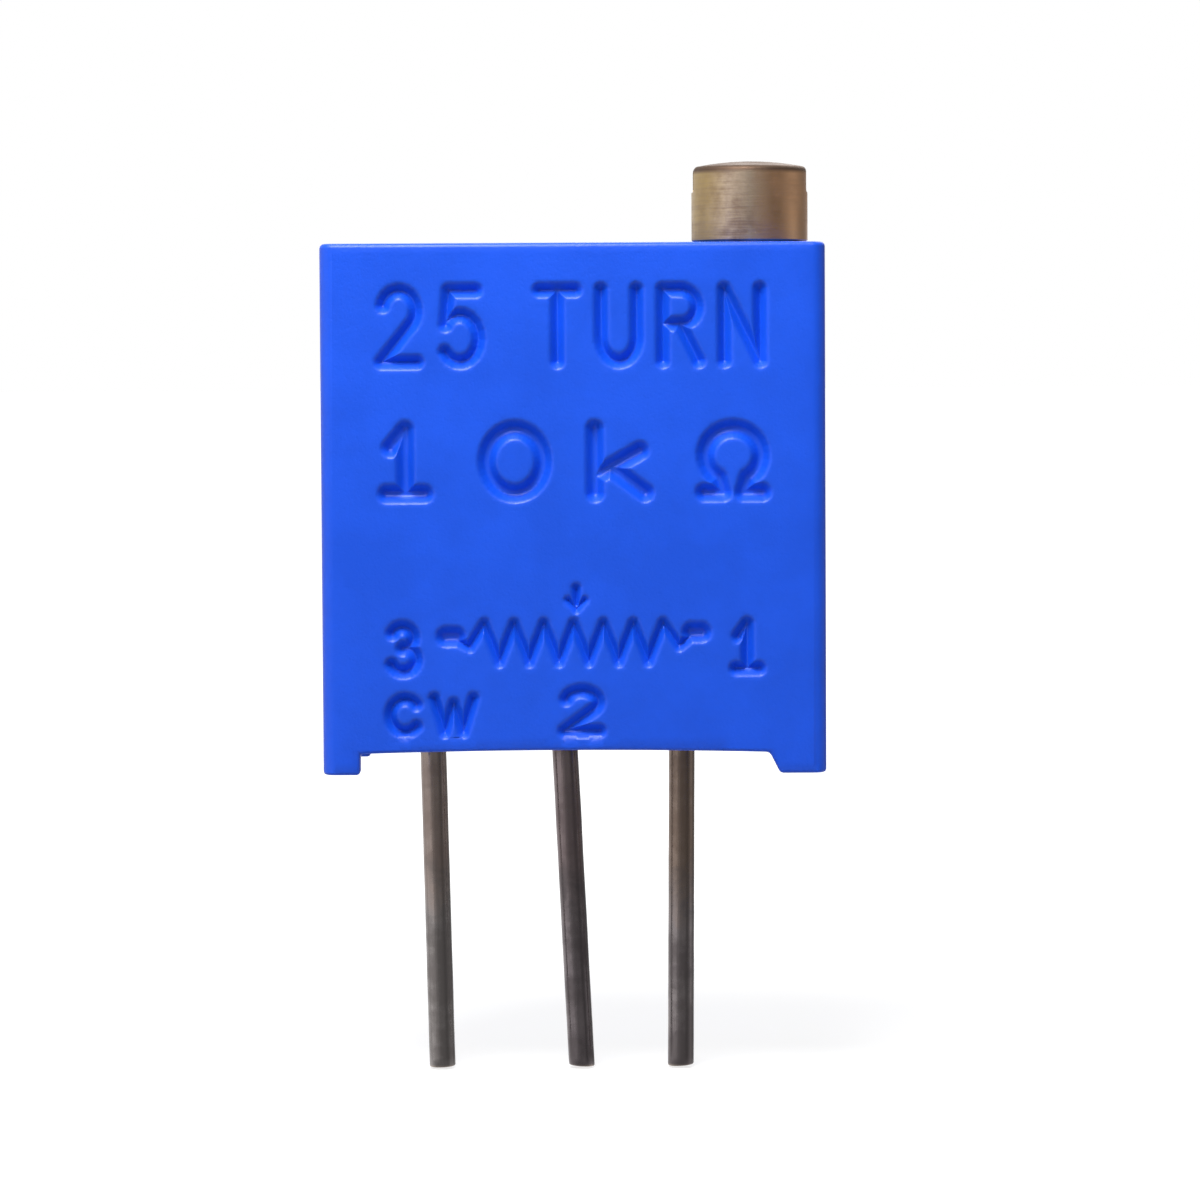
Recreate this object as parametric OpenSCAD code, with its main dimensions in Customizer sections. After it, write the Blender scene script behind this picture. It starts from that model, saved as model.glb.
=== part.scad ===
// Multi-turn trimmer potentiometer: square sealed housing, top adjusting screw, three in-line leads.
//
// X runs along the marked front face, with lead 1 towards +X. The front face looks towards -Y.
// Z is up. The origin is where lead 2 crosses the seating plane that the four feet stand on.
// All sizes are in millimetres and all angles in degrees.

/* [Housing] */
// Width of the housing, side to side
body_w = 9.53; // [9.4:0.01:12]
// Depth of the housing, front to back
body_d = 4.83; // [4.7:0.01:6]
// Height of the housing above the seating plane, feet included
body_h = 10.03; // [9.95:0.01:12.5]
// How far the housing's centre lies to the right of lead 2
body_offset = 0.19; // [0:0.01:0.4]
// Radius of the four upright edges
corner_r = 0.25; // [0.1:0.05:0.5]
// Thickness of the marked front wall beside the mechanism
front_wall = 0.75; // [0.5:0.05:0.9]
// Thickness of the back wall behind the ceramic
back_wall = 0.68; // [0.62:0.02:0.8]
// Thickness of the left wall
side_wall = 1.12; // [0.8:0.02:1.2]
// Thickness of the top wall
top_wall = 0.8; // [0.5:0.05:0.85]
// How far the space for the mechanism stops short of the screw's axis
rib_inset = 0.855; // [0.7:0.005:0.9]

/* [Feet and potting well] */
// Height of the feet
standoff = 0.4; // [0.2:0.01:0.48]
// Width of the two left feet
foot_left_w = 0.7; // [0.5:0.01:1.2]
// Width of the two right feet at the seating plane
foot_right_w = 0.88; // [0.5:0.01:1.2]
// Extra width of the right feet where they leave the housing
foot_right_flare = 0.2; // [0:0.01:0.4]
// Thickness of the rim around the well, front and back
rim_wall = 0.6; // [0.4:0.02:0.66]
// Thickness of the rim at the two sides
rim_side = 0.5; // [0.3:0.02:0.8]
// How far the potting lies inside the rim
potting_recess = 0.25; // [0.1:0.01:0.33]
// Thickness of the potting
potting_t = 1.3; // [1.2:0.02:1.38]
// Thickness of the plate that closes the mechanism off from the potting
plate_t = 0.5; // [0.4:0.02:0.58]

/* [Leads] */
// Diameter of a lead
lead_d = 0.51; // [0.4:0.01:0.65]
// Length of a lead below the seating plane
lead_length = 5.9; // [2:0.1:8]
// Spacing that the leads are made to
lead_pitch = 2.54; // [2.4:0.01:2.6]
// How far leads 1, 2 and 3 stand off that spacing at the seating plane
lead_shift = [-0.29, 0, -0.02]; // [-0.3:0.01:0.2]
// How far the tips of leads 1, 2 and 3 are bent along X
lead_lean = [-0.045, 0.28, 0.13]; // [-0.5:0.005:0.5]
// Thickness of the strip that joins a lead to the ceramic
strip_t = 0.18; // [0.1:0.02:0.2]
// How much wider that strip is than the lead
strip_margin = 0.05; // [0.02:0.01:0.1]
// Depth of the strip's underside inside the potting
strip_depth = 0.06; // [0.05:0.01:0.15]

/* [Adjusting screw] */
// Diameter of the head
head_d = 2.24; // [2.15:0.01:2.7]
// Height of the head above the housing
head_h = 1.6; // [1:0.01:2.5]
// Width of the driver slot
slot_w = 0.56; // [0.4:0.01:0.8]
// Depth of the driver slot
slot_depth = 0.6; // [0.3:0.01:0.9]
// Rise of the head's domed top
head_dome = 0.1; // [0.02:0.01:0.1]
// Bevel on the head's rim
head_bevel = 0.1; // [0.02:0.01:0.15]
// Distance from the right side of the housing to the screw's axis
screw_inset = 1.35; // [1.27:0.01:1.45]
// Diameter of the shaft in the housing's bore
shaft_d = 1.84; // [1.7:0.01:2.25]
// Diameter of the neck that the retaining clip holds
neck_d = 1.2; // [1:0.02:1.4]
// Diameter of the tail that turns in the closure plate
tail_d = 0.9; // [0.6:0.02:1.04]
// Length of the tail inside the closure plate
tail_length = 0.4; // [0.2:0.01:0.45]
// Height of the solid collar above the worm
collar_h = 0.4; // [0.2:0.05:0.6]

/* [Shaft seal and retaining clip] */
// Thickness of the sealing ring
seal_d = 0.29; // [0.2:0.01:0.32]
// Depth of the sealing ring's centre below the top of the housing
seal_depth = 0.5; // [0.3:0.01:0.7]
// Thickness of the retaining clip
clip_t = 0.34; // [0.2:0.02:0.36]
// Width of the retaining clip across both arms
clip_w = 2.8; // [2.5:0.05:3]
// Length of the retaining clip
clip_length = 2.2; // [1.9:0.05:2.4]
// How far the retaining clip stands out of its slot
clip_tab = 0.8; // [0.4:0.05:0.8]
// Depth of the retaining clip's top below the top of the housing
clip_depth = 1.06; // [0.9:0.01:1.1]

/* [Worm drive] */
// Module of the worm drive
gear_module = 0.1875; // [0.16:0.0025:0.19]
// Number of teeth on the wheel
wheel_teeth = 32; // [27:1:32]
// Thickness of the wheel
wheel_t = 0.8; // [0.5:0.05:0.9]
// Pitch radius of the worm
worm_pitch_r = 0.76; // [0.72:0.01:0.78]
// Height of the teeth and of the thread outside their pitch circles
addendum = 0.16; // [0.1:0.01:0.17]
// Depth of the teeth and of the thread inside their pitch circles
dedendum = 0.22; // [0.2:0.01:0.24]
// Slope of the flanks
pressure_angle = 20; // [15:1:25]
// Play between tooth and thread at the pitch circle
backlash = 0.12; // [0.1:0.01:0.18]
// Number of turns of thread on the worm
worm_turns = 6; // [5:1:6]

/* [Rotor] */
// Diameter of the hub in front of the wheel
hub_d = 2.6; // [2:0.05:3]
// Diameter of the pivot pin
pivot_d = 0.8; // [0.6:0.02:0.9]
// Width of the stop lug
lug_w = 1; // [0.6:0.05:1.1]
// How far the end of the stop lug lies inside the wheel's root circle
lug_inset = 0.18; // [0.1:0.01:0.4]
// Depth of the stop lug, front to back
lug_depth = 0.6; // [0.3:0.05:0.7]
// Width of the post that stops the lug
post_w = 0.9; // [0.5:0.05:1]
// Clearance between the hub and the top of that post
post_gap = 0.15; // [0.05:0.01:0.3]

/* [Wiper] */
// Thickness of the wiper's spring metal
wiper_t = 0.1; // [0.06:0.01:0.14]
// Diameter of the wiper's ring
wiper_ring_d = 2.6; // [2.2:0.05:2.8]
// Width of one contact finger
finger_w = 0.2; // [0.12:0.01:0.24]
// Space between two fingers
finger_gap = 0.06; // [0.04:0.01:0.1]
// Diameter of the two posts that hold the wiper on the rotor
stake_d = 0.28; // [0.2:0.01:0.34]
// Distance from the pivot to each of those posts
stake_r = 0.92; // [0.85:0.01:1]

/* [Element] */
// Thickness of the ceramic
ceramic_t = 0.63; // [0.5:0.01:0.7]
// Thickness of the printed tracks
film_t = 0.03; // [0.02:0.005:0.05]
// How far the resistive track lies inside the wheel's root circle
track_inset = 0.33; // [0.3:0.01:0.45]
// Width of the resistive track
track_w = 0.6; // [0.5:0.05:0.7]
// Space between the resistive track and the collector ring
track_gap = 0.3; // [0.2:0.05:0.35]
// Angle from the middle of the resistive track to each end
track_angle = 145; // [142:1:150]
// Angle that each end conductor covers under the ends of the track
end_angle = 16; // [8:1:18]
// Radius of the pivot pin's collar, which the collector ring runs out from
collar_r = 0.75; // [0.7:0.01:0.85]
// Width of the printed run from the collector ring to lead 2
run_w = 0.4; // [0.2:0.05:0.5]
// Height of the ceramic above the track
ceramic_margin = 0.2; // [0.1:0.02:0.25]
// How far the ceramic reaches into the potting
ceramic_depth = 0.85; // [0.85:0.01:0.95]

/* [Fits] */
// Radial clearance of the screw's shaft and of the worm
shaft_gap = 0.05; // [0.02:0.01:0.08]
// Extra radial clearance around the worm
worm_gap = 0.03; // [0:0.01:0.04]
// Radial clearance of the rotor on its pivot and of the tail in its bearing
pivot_gap = 0.04; // [0.02:0.01:0.06]
// End clearance of the screw and of the rotor
end_gap = 0.03; // [0.02:0.01:0.06]
// Clearance of the sealing ring in the bore
seal_gap = 0.02; // [0.01:0.005:0.03]
// Distance that the wiper's fingers keep from the tracks
contact_gap = 0.02; // [0.01:0.005:0.04]
// Clearance around the ceramic and between the solder and the closure plate
loose_gap = 0.05; // [0.03:0.01:0.08]

/* [Hidden] */
$fn = 64;

CORNER_STEPS = 4;     // flats on each rounded upright edge
CREST_STEPS = 4;      // chords along the worm's crest and along its root
FLANK_STEPS = 4;      // chords along each of the worm's flanks
TURN_SLICES = 16;     // steps in one turn of the thread
WHEEL_LIFT = 0.28;    // from the closure plate up to the wheel
POST_MARGIN = 0.05;   // between the stop post and the wheel beside it
SOLDER_H = 0.15;      // height of a solder joint above its pad
TRACK_FINGERS = 3;    // wiper fingers on the resistive track
COLLECTOR_FINGERS = 2; // wiper fingers on the collector ring
CUT = 0.5;            // how far a cutting shape passes the face that it opens
COLOURS = ["royalblue", "darkgoldenrod", "black", "silver", "ivory", "gold", "peru", "white",
           "dimgray", "lightgray", "lightgray", "lightgray", "slategray"];

body_left = body_offset - body_w / 2;
body_right = body_offset + body_w / 2;
half_d = body_d / 2;

screw_x = body_right - screw_inset;
shaft_r = shaft_d / 2;
bore_r = shaft_r + shaft_gap;
worm_r = worm_pitch_r + addendum;
worm_root_r = worm_pitch_r - dedendum;
chamber_r = worm_r + shaft_gap + worm_gap;
neck_r = neck_d / 2;
tail_r = tail_d / 2;

potting_z = standoff + potting_recess;
plate_z = potting_z + potting_t;
floor_z = plate_z + plate_t;
ceiling_z = body_h - top_wall;
clip_top_z = body_h - clip_depth;
clip_z = clip_top_z - clip_t;
clip_left = screw_x - rib_inset - clip_tab;
clip_right = clip_left + clip_length;

wheel_pitch_r = gear_module * wheel_teeth / 2;
wheel_r = wheel_pitch_r + addendum;
wheel_root_r = wheel_pitch_r - dedendum;
lug_reach = wheel_root_r - lug_inset;
track_r_out = wheel_root_r - track_inset;
track_r_in = track_r_out - track_w;
track_r_mid = (track_r_in + track_r_out) / 2;
collector_r_out = track_r_in - track_gap;
tooth_pitch = PI * gear_module;
wheel_x = screw_x - wheel_pitch_r - worm_pitch_r;
wheel_z = floor_z + WHEEL_LIFT + wheel_r;
worm_h = worm_turns * tooth_pitch;
worm_z = wheel_z - worm_h / 2;

cavity_left = body_left + side_wall;
cavity_right = screw_x - rib_inset;
cavity_front = -half_d + front_wall;
cavity_back = half_d - back_wall;
well_left = body_left + rim_side;
well_right = body_right - rim_side;
well_front = -half_d + rim_wall;
well_back = half_d - rim_wall;

ceramic_left = cavity_left + loose_gap;
ceramic_right = cavity_right - loose_gap;
ceramic_front = cavity_back - ceramic_t;
ceramic_bottom = plate_z - ceramic_depth;
ceramic_top = wheel_z + track_r_out + ceramic_margin;
film_front = ceramic_front - film_t;

pivot_r = pivot_d / 2;
rotor_back = wheel_t / 2;
hub_front = cavity_front + end_gap;
wiper_back = rotor_back + wiper_t;
finger_tip = film_front - contact_gap;

lead_r = lead_d / 2;
strip_w = lead_d + strip_margin;
strip_z = potting_z + strip_depth;
strip_top = plate_z - SOLDER_H - loose_gap;
lead_x = [for (i = [0:2]) (1 - i) * lead_pitch + lead_shift[i]];
strip_x = [for (i = [0:2]) lead_x[i] - lead_lean[i] * strip_z / lead_length];
run_z = floor_z + run_w / 2;

// A box between two opposite corners
module box(low, high) {
    translate(low) cube(high - low);
}

// Draws its flat children in the XZ plane and gives them a thickness from back towards the front
module upright(back, thickness) {
    translate([0, back, 0]) rotate([90, 0, 0]) linear_extrude(thickness) children();
}

// A point at radius r and at an angle clockwise from straight up, as seen from the front
function dial(r, angle) = r * [sin(angle), cos(angle)];

// The outline of the housing seen from above, with its corners rounded
function rounded_outline() =
    [for (corner = [0:3], step = [0:CORNER_STEPS])
        let (angle = 90 * (corner + step / CORNER_STEPS),
             side_x = corner == 0 || corner == 3 ? 1 : -1,
             side_y = corner < 2 ? 1 : -1)
        [body_offset + side_x * (body_w / 2 - corner_r) + corner_r * cos(angle),
         side_y * (half_d - corner_r) + corner_r * sin(angle)]];

// The two feet of one long side, as seen from the front, each with its upper end inside the housing
module feet_outline() {
    foot_top = standoff + CUT;
    flare_x = body_right - foot_right_w - foot_right_flare;
    area(body_left, 0, body_left + foot_left_w, foot_top);
    polygon([[body_right - foot_right_w, 0], [body_right, 0], [body_right, foot_top],
             [flare_x, foot_top], [flare_x, standoff]]);
}

module housing_block() {
    intersection() {
        linear_extrude(body_h) polygon(rounded_outline());
        union() {
            box([body_left, -half_d, standoff], [body_right, half_d, body_h]);
            upright(well_front, rim_wall) feet_outline();
            upright(half_d, rim_wall) feet_outline();
        }
    }
}

module housing() color(COLOURS[0]) difference() {
    housing_block();
    box([well_left, well_front, standoff - CUT], [well_right, well_back, floor_z]);
    box([cavity_left, cavity_front, floor_z - CUT], [cavity_right, cavity_back, ceiling_z]);
    translate([screw_x, 0, floor_z - CUT / 2]) cylinder(h = clip_z + CUT / 2 - floor_z, r = chamber_r);
    translate([screw_x, 0, clip_z]) cylinder(h = body_h + CUT - clip_z, r = bore_r);
    box([clip_left, -clip_w / 2, clip_z], [clip_right, clip_w / 2, clip_top_z]);
}

// One section of the worm: a crest, two sloping flanks and a root around a single start
function worm_radius(angle) =
    let (half_thickness = (tooth_pitch - backlash) / 4,
         offset_z = tooth_pitch * abs(angle) / 360)
    max(worm_root_r, min(worm_r, worm_pitch_r + (half_thickness - offset_z) / tan(pressure_angle)));
function worm_corner(radius) =
    360 / tooth_pitch * ((tooth_pitch - backlash) / 4 - (radius - worm_pitch_r) * tan(pressure_angle));
function steps(from, to, count) = [for (i = [0:count - 1]) from + (to - from) * i / count];
function worm_section() =
    let (crest = worm_corner(worm_r),
         root = worm_corner(worm_root_r))
    [for (angle = concat(steps(-crest, crest, CREST_STEPS), steps(crest, root, FLANK_STEPS),
                         steps(root, 360 - root, CREST_STEPS), steps(360 - root, 360 - crest, FLANK_STEPS)))
        worm_radius(angle > 180 ? 360 - angle : angle) * [cos(angle), sin(angle)]];

module worm_thread() {
    section = worm_section();
    translate([0, 0, worm_z]) rotate([0, 0, 180 - 360 * worm_turns / 2])
        linear_extrude(worm_h, twist = -360 * worm_turns, slices = worm_turns * TURN_SLICES,
                       segments = len(section))
            polygon(section);
}

// The head's top falls away from its middle in a shallow arc of this radius
function dome_radius() = (pow(head_d / 2, 2) + pow(head_dome, 2)) / (2 * head_dome);

module screw_head() {
    head_r = head_d / 2;
    head_bottom = body_h + end_gap;
    top_z = body_h + head_h;
    cone_h = top_z - head_dome - head_bevel - head_bottom + head_r;
    difference() {
        intersection() {
            translate([0, 0, head_bottom]) cylinder(h = top_z - head_bottom, r = head_r);
            translate([0, 0, top_z - dome_radius()]) sphere(r = dome_radius(), $fn = 2 * $fn);
            translate([0, 0, head_bottom]) cylinder(h = cone_h, r1 = cone_h, r2 = 0);
        }
        box([-head_d, -slot_w / 2, top_z - slot_depth], [head_d, slot_w / 2, top_z + CUT]);
    }
}

module adjusting_screw() color(COLOURS[1]) translate([screw_x, 0, 0]) {
    neck_bottom = clip_z - end_gap;
    neck_top = clip_top_z + end_gap;
    tail_bottom = floor_z + end_gap - tail_length;
    worm_top = worm_z + worm_h;
    screw_head();
    difference() {
        translate([0, 0, neck_top]) cylinder(h = body_h + end_gap - neck_top, r = shaft_r);
        translate([0, 0, body_h - seal_depth - seal_d / 2])
            difference() {
                cylinder(h = seal_d, r = shaft_r + CUT);
                cylinder(h = seal_d, r = bore_r - seal_gap - seal_d);
            }
    }
    translate([0, 0, neck_bottom]) cylinder(h = neck_top - neck_bottom, r = neck_r);
    translate([0, 0, neck_bottom - collar_h]) cylinder(h = collar_h, r = worm_r);
    translate([0, 0, worm_top]) cylinder(h = neck_bottom - collar_h - worm_top, r = worm_root_r);
    worm_thread();
    translate([0, 0, floor_z + end_gap]) cylinder(h = worm_z - floor_z - end_gap, r = worm_root_r);
    translate([0, 0, tail_bottom]) cylinder(h = neck_bottom - tail_bottom, r = tail_r);
}

module shaft_seal() color(COLOURS[2])
    translate([screw_x, 0, body_h - seal_depth]) rotate_extrude()
        translate([bore_r - seal_gap - seal_d / 2, 0]) circle(d = seal_d, $fn = 32);

module retaining_clip() color(COLOURS[3]) {
    hole_r = neck_r + end_gap;
    difference() {
        box([clip_left, -clip_w / 2, clip_z], [clip_right, clip_w / 2, clip_top_z]);
        translate([screw_x, 0, clip_z - CUT]) cylinder(h = clip_t + 2 * CUT, r = hole_r);
        box([screw_x, -hole_r, clip_z - CUT], [clip_right + CUT, hole_r, clip_top_z + CUT]);
    }
}

// One tooth as four corners, from its root on one side to its root on the other
function tooth(angle) =
    let (half_thickness = (tooth_pitch - backlash) / 4,
         tip = (half_thickness - addendum * tan(pressure_angle)) / wheel_r * 180 / PI,
         root = (half_thickness + dedendum * tan(pressure_angle)) / wheel_root_r * 180 / PI)
    [dial(wheel_root_r, angle + root), dial(wheel_r, angle + tip),
     dial(wheel_r, angle - tip), dial(wheel_root_r, angle - root)];

// The wheel's outline, with a gap between two teeth facing the worm
module wheel_outline() {
    step = 360 / wheel_teeth;
    polygon([for (i = [0:wheel_teeth - 1]) each tooth(90 - (i + 0.5) * step)]);
}

module rotor_wheel() color(COLOURS[4]) translate([wheel_x, 0, wheel_z]) difference() {
    union() {
        upright(rotor_back, wheel_t) wheel_outline();
        upright(-rotor_back, -rotor_back - hub_front) circle(d = hub_d);
        upright(-rotor_back, lug_depth) translate([-lug_w / 2, 0]) square([lug_w, lug_reach]);
        for (side = [-1, 1])
            upright(wiper_back + wiper_t, 2 * wiper_t) translate([side * stake_r, 0]) circle(d = stake_d);
    }
    upright(rotor_back + CUT, wheel_t + body_d) circle(r = pivot_r + pivot_gap);
}

// A group of fingers that leave the ring at radius start and touch down at radius contact
module spring_arm(start, bend, contact, fingers) {
    rise = finger_tip - wiper_back;
    path = [[start, rotor_back], [bend, rotor_back], [contact, rotor_back + rise],
            [contact + wiper_t, rotor_back + rise - wiper_t / 2]];
    pitch = finger_w + finger_gap;
    for (i = [0:fingers - 1])
        translate([(i - (fingers - 1) / 2) * pitch, 0, 0])
            rotate([0, -90, 0]) linear_extrude(finger_w, center = true)
                polygon(concat(path, [for (j = [3:-1:0]) path[j] + [0, wiper_t]]));
}

module wiper_spring() color(COLOURS[5]) translate([wheel_x, 0, wheel_z]) {
    ring_in = pivot_r + pivot_gap + 2 * wiper_t;
    difference() {
        upright(wiper_back, wiper_t) circle(d = wiper_ring_d);
        upright(wiper_back + CUT, wiper_t + 2 * CUT) circle(r = ring_in);
        for (side = [-1, 1])
            upright(wiper_back + CUT, wiper_t + 2 * CUT) translate([side * stake_r, 0]) circle(d = stake_d);
    }
    spring_arm(ring_in + wiper_t, wiper_ring_d / 2, track_r_mid, TRACK_FINGERS);
    rotate([0, 180, 0])
        spring_arm(ring_in + wiper_t / 2, ring_in + 2 * wiper_t, collector_r_out - 2 * wiper_t,
                   COLLECTOR_FINGERS);
}

module pivot_pin() color(COLOURS[6]) translate([wheel_x, 0, wheel_z]) {
    upright(cavity_back, cavity_back - hub_front - 2 * wiper_t) circle(r = pivot_r);
    upright(film_front, SOLDER_H) circle(r = collar_r);
}

module ceramic_element() color(COLOURS[7]) difference() {
    box([ceramic_left, ceramic_front, ceramic_bottom], [ceramic_right, cavity_back, ceramic_top]);
    translate([wheel_x, 0, wheel_z]) upright(cavity_back + CUT, ceramic_t + 2 * CUT) circle(r = pivot_r);
}

// Draws its flat children as a film printed on the front of the ceramic
module printed() {
    upright(ceramic_front, film_t) children();
}

// A wedge from the wheel's centre, from one angle to a larger one under 90 degrees on
module wedge(from, to) {
    polygon([[0, 0], dial(2 * track_r_out, to), dial(2 * track_r_out, from)]);
}

// A rectangle between two opposite corners
module area(x1, z1, x2, z2) {
    translate([min(x1, x2), min(z1, z2)]) square([abs(x2 - x1), abs(z2 - z1)]);
}

module ring(inner, outer) {
    difference() {
        circle(r = outer);
        circle(r = inner);
    }
}

module resistive_track() color(COLOURS[8]) printed() translate([wheel_x, wheel_z]) difference() {
    ring(track_r_in, track_r_out);
    wedge(track_angle, 180);
    wedge(180, 360 - track_angle);
}

// The pad that a lead is soldered to, from the ceramic's bottom up to a height; the ceramic's sides limit it
module pad(index, top) {
    area(max(strip_x[index] - strip_w / 2, ceramic_left), ceramic_bottom,
         min(strip_x[index] + strip_w / 2, ceramic_right), top);
}

module collector_track() color(COLOURS[9]) printed() {
    translate([wheel_x, wheel_z]) ring(pivot_r, collector_r_out);
    area(wheel_x - run_w / 2, floor_z - run_w, wheel_x + run_w / 2, wheel_z - collar_r);
    area(wheel_x, floor_z - run_w, strip_x[1], floor_z);
    pad(1, floor_z);
}

// The printed run from one end of the track to the pad of one outer lead; side is 1 for the right.
// It crosses to its pad above the collector's own run.
module end_run(side, index) {
    run_angle = track_angle + end_angle / 2;
    run_x = wheel_x + side * track_r_mid * sin(run_angle);
    translate([wheel_x, wheel_z]) intersection() {
        ring(track_r_in, track_r_out);
        if (side > 0) wedge(track_angle, track_angle + end_angle);
        else wedge(-track_angle - end_angle, -track_angle);
    }
    area(run_x - run_w / 2, run_z, run_x + run_w / 2, wheel_z + track_r_mid * cos(run_angle));
    area(run_x - side * run_w / 2, run_z, strip_x[index], run_z + run_w);
    pad(index, run_z + run_w);
}

module end_conductor_1() color(COLOURS[10]) printed() end_run(1, 0);

module end_conductor_3() color(COLOURS[11]) printed() end_run(-1, 2);

// A lead: a round wire, leaning as it was bent, on a flat strip that turns up against its pad
module terminal(index) {
    run = lead_length + strip_z + strip_t / 2;
    lean = atan(lead_lean[index] / lead_length);
    color(COLOURS[12]) {
        translate([lead_x[index], 0, 0]) rotate([0, -lean, 0]) translate([0, 0, -lead_length / cos(lean)])
            cylinder(h = run / cos(lean), r = lead_r);
        strip(index);
    }
}

module strip(index) {
    translate([strip_x[index] - strip_w / 2, 0, 0]) rotate([90, 0, 90]) linear_extrude(strip_w)
        polygon([[-strip_w / 2, strip_z], [film_front, strip_z], [film_front, strip_top],
                 [film_front - strip_t, strip_top], [film_front - strip_t, strip_z + strip_t],
                 [-strip_w / 2, strip_z + strip_t]]);
}

// A joint of solder on the pad, around the end of the strip
module solder_cone(index) {
    wide = strip_w / 2 + SOLDER_H;
    translate([strip_x[index], film_front, strip_top - wide + SOLDER_H]) rotate([90, 0, 0])
        cylinder(h = SOLDER_H, r1 = wide, r2 = strip_w / 2 + strip_margin);
}

module solder_joint(index) color(COLOURS[3]) difference() {
    solder_cone(index);
    strip(index);
}

module terminal_1() terminal(0);

module terminal_2() terminal(1);

module terminal_3() terminal(2);

module solder_joint_1() solder_joint(0);

module solder_joint_2() solder_joint(1);

module solder_joint_3() solder_joint(2);

module closure_plate() color(COLOURS[0]) {
    post_top = wheel_z - hub_d / 2 - post_gap;
    bearing_r = tail_r + pivot_gap;
    difference() {
        box([well_left, well_front, plate_z], [well_right, well_back, floor_z]);
        box([ceramic_left, film_front, plate_z - CUT], [ceramic_right, well_back + CUT, floor_z + CUT]);
        translate([screw_x, 0, floor_z - tail_length]) cylinder(h = tail_length + CUT, r = bearing_r);
    }
    box([wheel_x - post_w / 2, hub_front, floor_z],
        [wheel_x + post_w / 2, -rotor_back - POST_MARGIN, post_top]);
}

module potting() color(COLOURS[2]) difference() {
    box([well_left, well_front, potting_z], [well_right, well_back, plate_z]);
    box([ceramic_left, ceramic_front, ceramic_bottom], [ceramic_right, cavity_back, plate_z + CUT]);
    printed() for (index = [0:2]) pad(index, plate_z + CUT);
    for (index = [0:2]) {
        terminal(index);
        solder_cone(index);
    }
}

housing();
adjusting_screw();
shaft_seal();
retaining_clip();
rotor_wheel();
wiper_spring();
pivot_pin();
ceramic_element();
resistive_track();
collector_track();
end_conductor_1();
end_conductor_3();
terminal_1();
terminal_2();
terminal_3();
solder_joint_1();
solder_joint_2();
solder_joint_3();
closure_plate();
potting();
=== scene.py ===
"""Multi-turn trimmer potentiometer: the visual model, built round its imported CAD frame.

All sizes in the classes are millimetres in the frame's own axes: X along the marked face, with lead 1
towards +X, the marked face looking to -Y, and Z up from the seating plane. A finished mesh is in metres.
"""

import logging
import math
from collections.abc import Callable, Iterable
from dataclasses import dataclass, field, replace
from enum import Enum

import bmesh
import bpy
import numpy as np
from mathutils import Matrix, Vector, noise


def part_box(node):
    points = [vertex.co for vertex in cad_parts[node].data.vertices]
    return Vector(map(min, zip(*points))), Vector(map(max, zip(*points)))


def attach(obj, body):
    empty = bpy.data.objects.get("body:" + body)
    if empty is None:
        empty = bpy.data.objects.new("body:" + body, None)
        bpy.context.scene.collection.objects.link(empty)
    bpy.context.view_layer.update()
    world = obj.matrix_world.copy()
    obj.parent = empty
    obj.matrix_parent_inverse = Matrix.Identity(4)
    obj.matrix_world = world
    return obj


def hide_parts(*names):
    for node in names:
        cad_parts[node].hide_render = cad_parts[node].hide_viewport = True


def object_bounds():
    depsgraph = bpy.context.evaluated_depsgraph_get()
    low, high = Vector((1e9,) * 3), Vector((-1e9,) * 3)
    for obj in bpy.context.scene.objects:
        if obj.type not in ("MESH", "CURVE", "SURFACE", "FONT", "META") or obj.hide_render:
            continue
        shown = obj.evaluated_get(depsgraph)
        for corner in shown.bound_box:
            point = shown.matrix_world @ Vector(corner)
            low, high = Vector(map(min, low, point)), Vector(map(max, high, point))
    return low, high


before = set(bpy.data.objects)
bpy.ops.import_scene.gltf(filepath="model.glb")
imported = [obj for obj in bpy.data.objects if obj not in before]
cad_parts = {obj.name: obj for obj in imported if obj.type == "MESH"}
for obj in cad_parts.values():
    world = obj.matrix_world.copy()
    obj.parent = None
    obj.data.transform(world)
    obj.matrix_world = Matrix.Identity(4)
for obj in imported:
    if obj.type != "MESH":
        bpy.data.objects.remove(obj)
CAD_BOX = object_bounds()

MM = 0.001  # metres in a millimetre
TINY = 1e-4  # points nearer to each other than this, in millimetres, are one point
ALONG = 0.999  # cosine from which a face counts as looking along an axis
FLAT = 0.5  # degrees up to which neighbouring faces count as one plane
SHARP = 40.0  # degrees from which an edge counts as sharp
LOG = logging.getLogger("trimmer")

Point = tuple[float, float]
Triple = tuple[float, float, float]
Colour = tuple[float, float, float]
BMesh = bmesh.types.BMesh
BMFace = bmesh.types.BMFace
BMEdge = bmesh.types.BMEdge
Piece = bpy.types.Object
Material = bpy.types.Material
Tree = bpy.types.NodeTree
Socket = bpy.types.NodeSocket
Value = float | Socket
Outputs = bpy.types.bpy_prop_collection


class Axis(Enum):
    """The three axes of the frame."""

    X = 0
    Y = 1
    Z = 2

    @property
    def vector(self) -> Vector:
        """The axis as a unit vector."""
        return Vector([1.0 if i == self.value else 0.0 for i in range(3)])


class Body(Enum):
    """The bodies that a remodelled piece can ride on."""

    HOUSING = "housing"
    SCREW = "screw"


class Slot(Enum):
    """The record's material slots for the remodelled pieces' finishes."""

    HOUSING = "housing_plastic"
    SCREW = "screw_brass"
    LEAD = "tinned_lead"
    RESIN = "potting_resin"


# --- Mesh helpers ----------------------------------------------------------------------------


def node_box(node: str) -> tuple[Vector, Vector]:
    """The lowest and the highest corner of a CAD node, in millimetres."""
    low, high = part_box(node)
    return low / MM, high / MM


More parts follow.
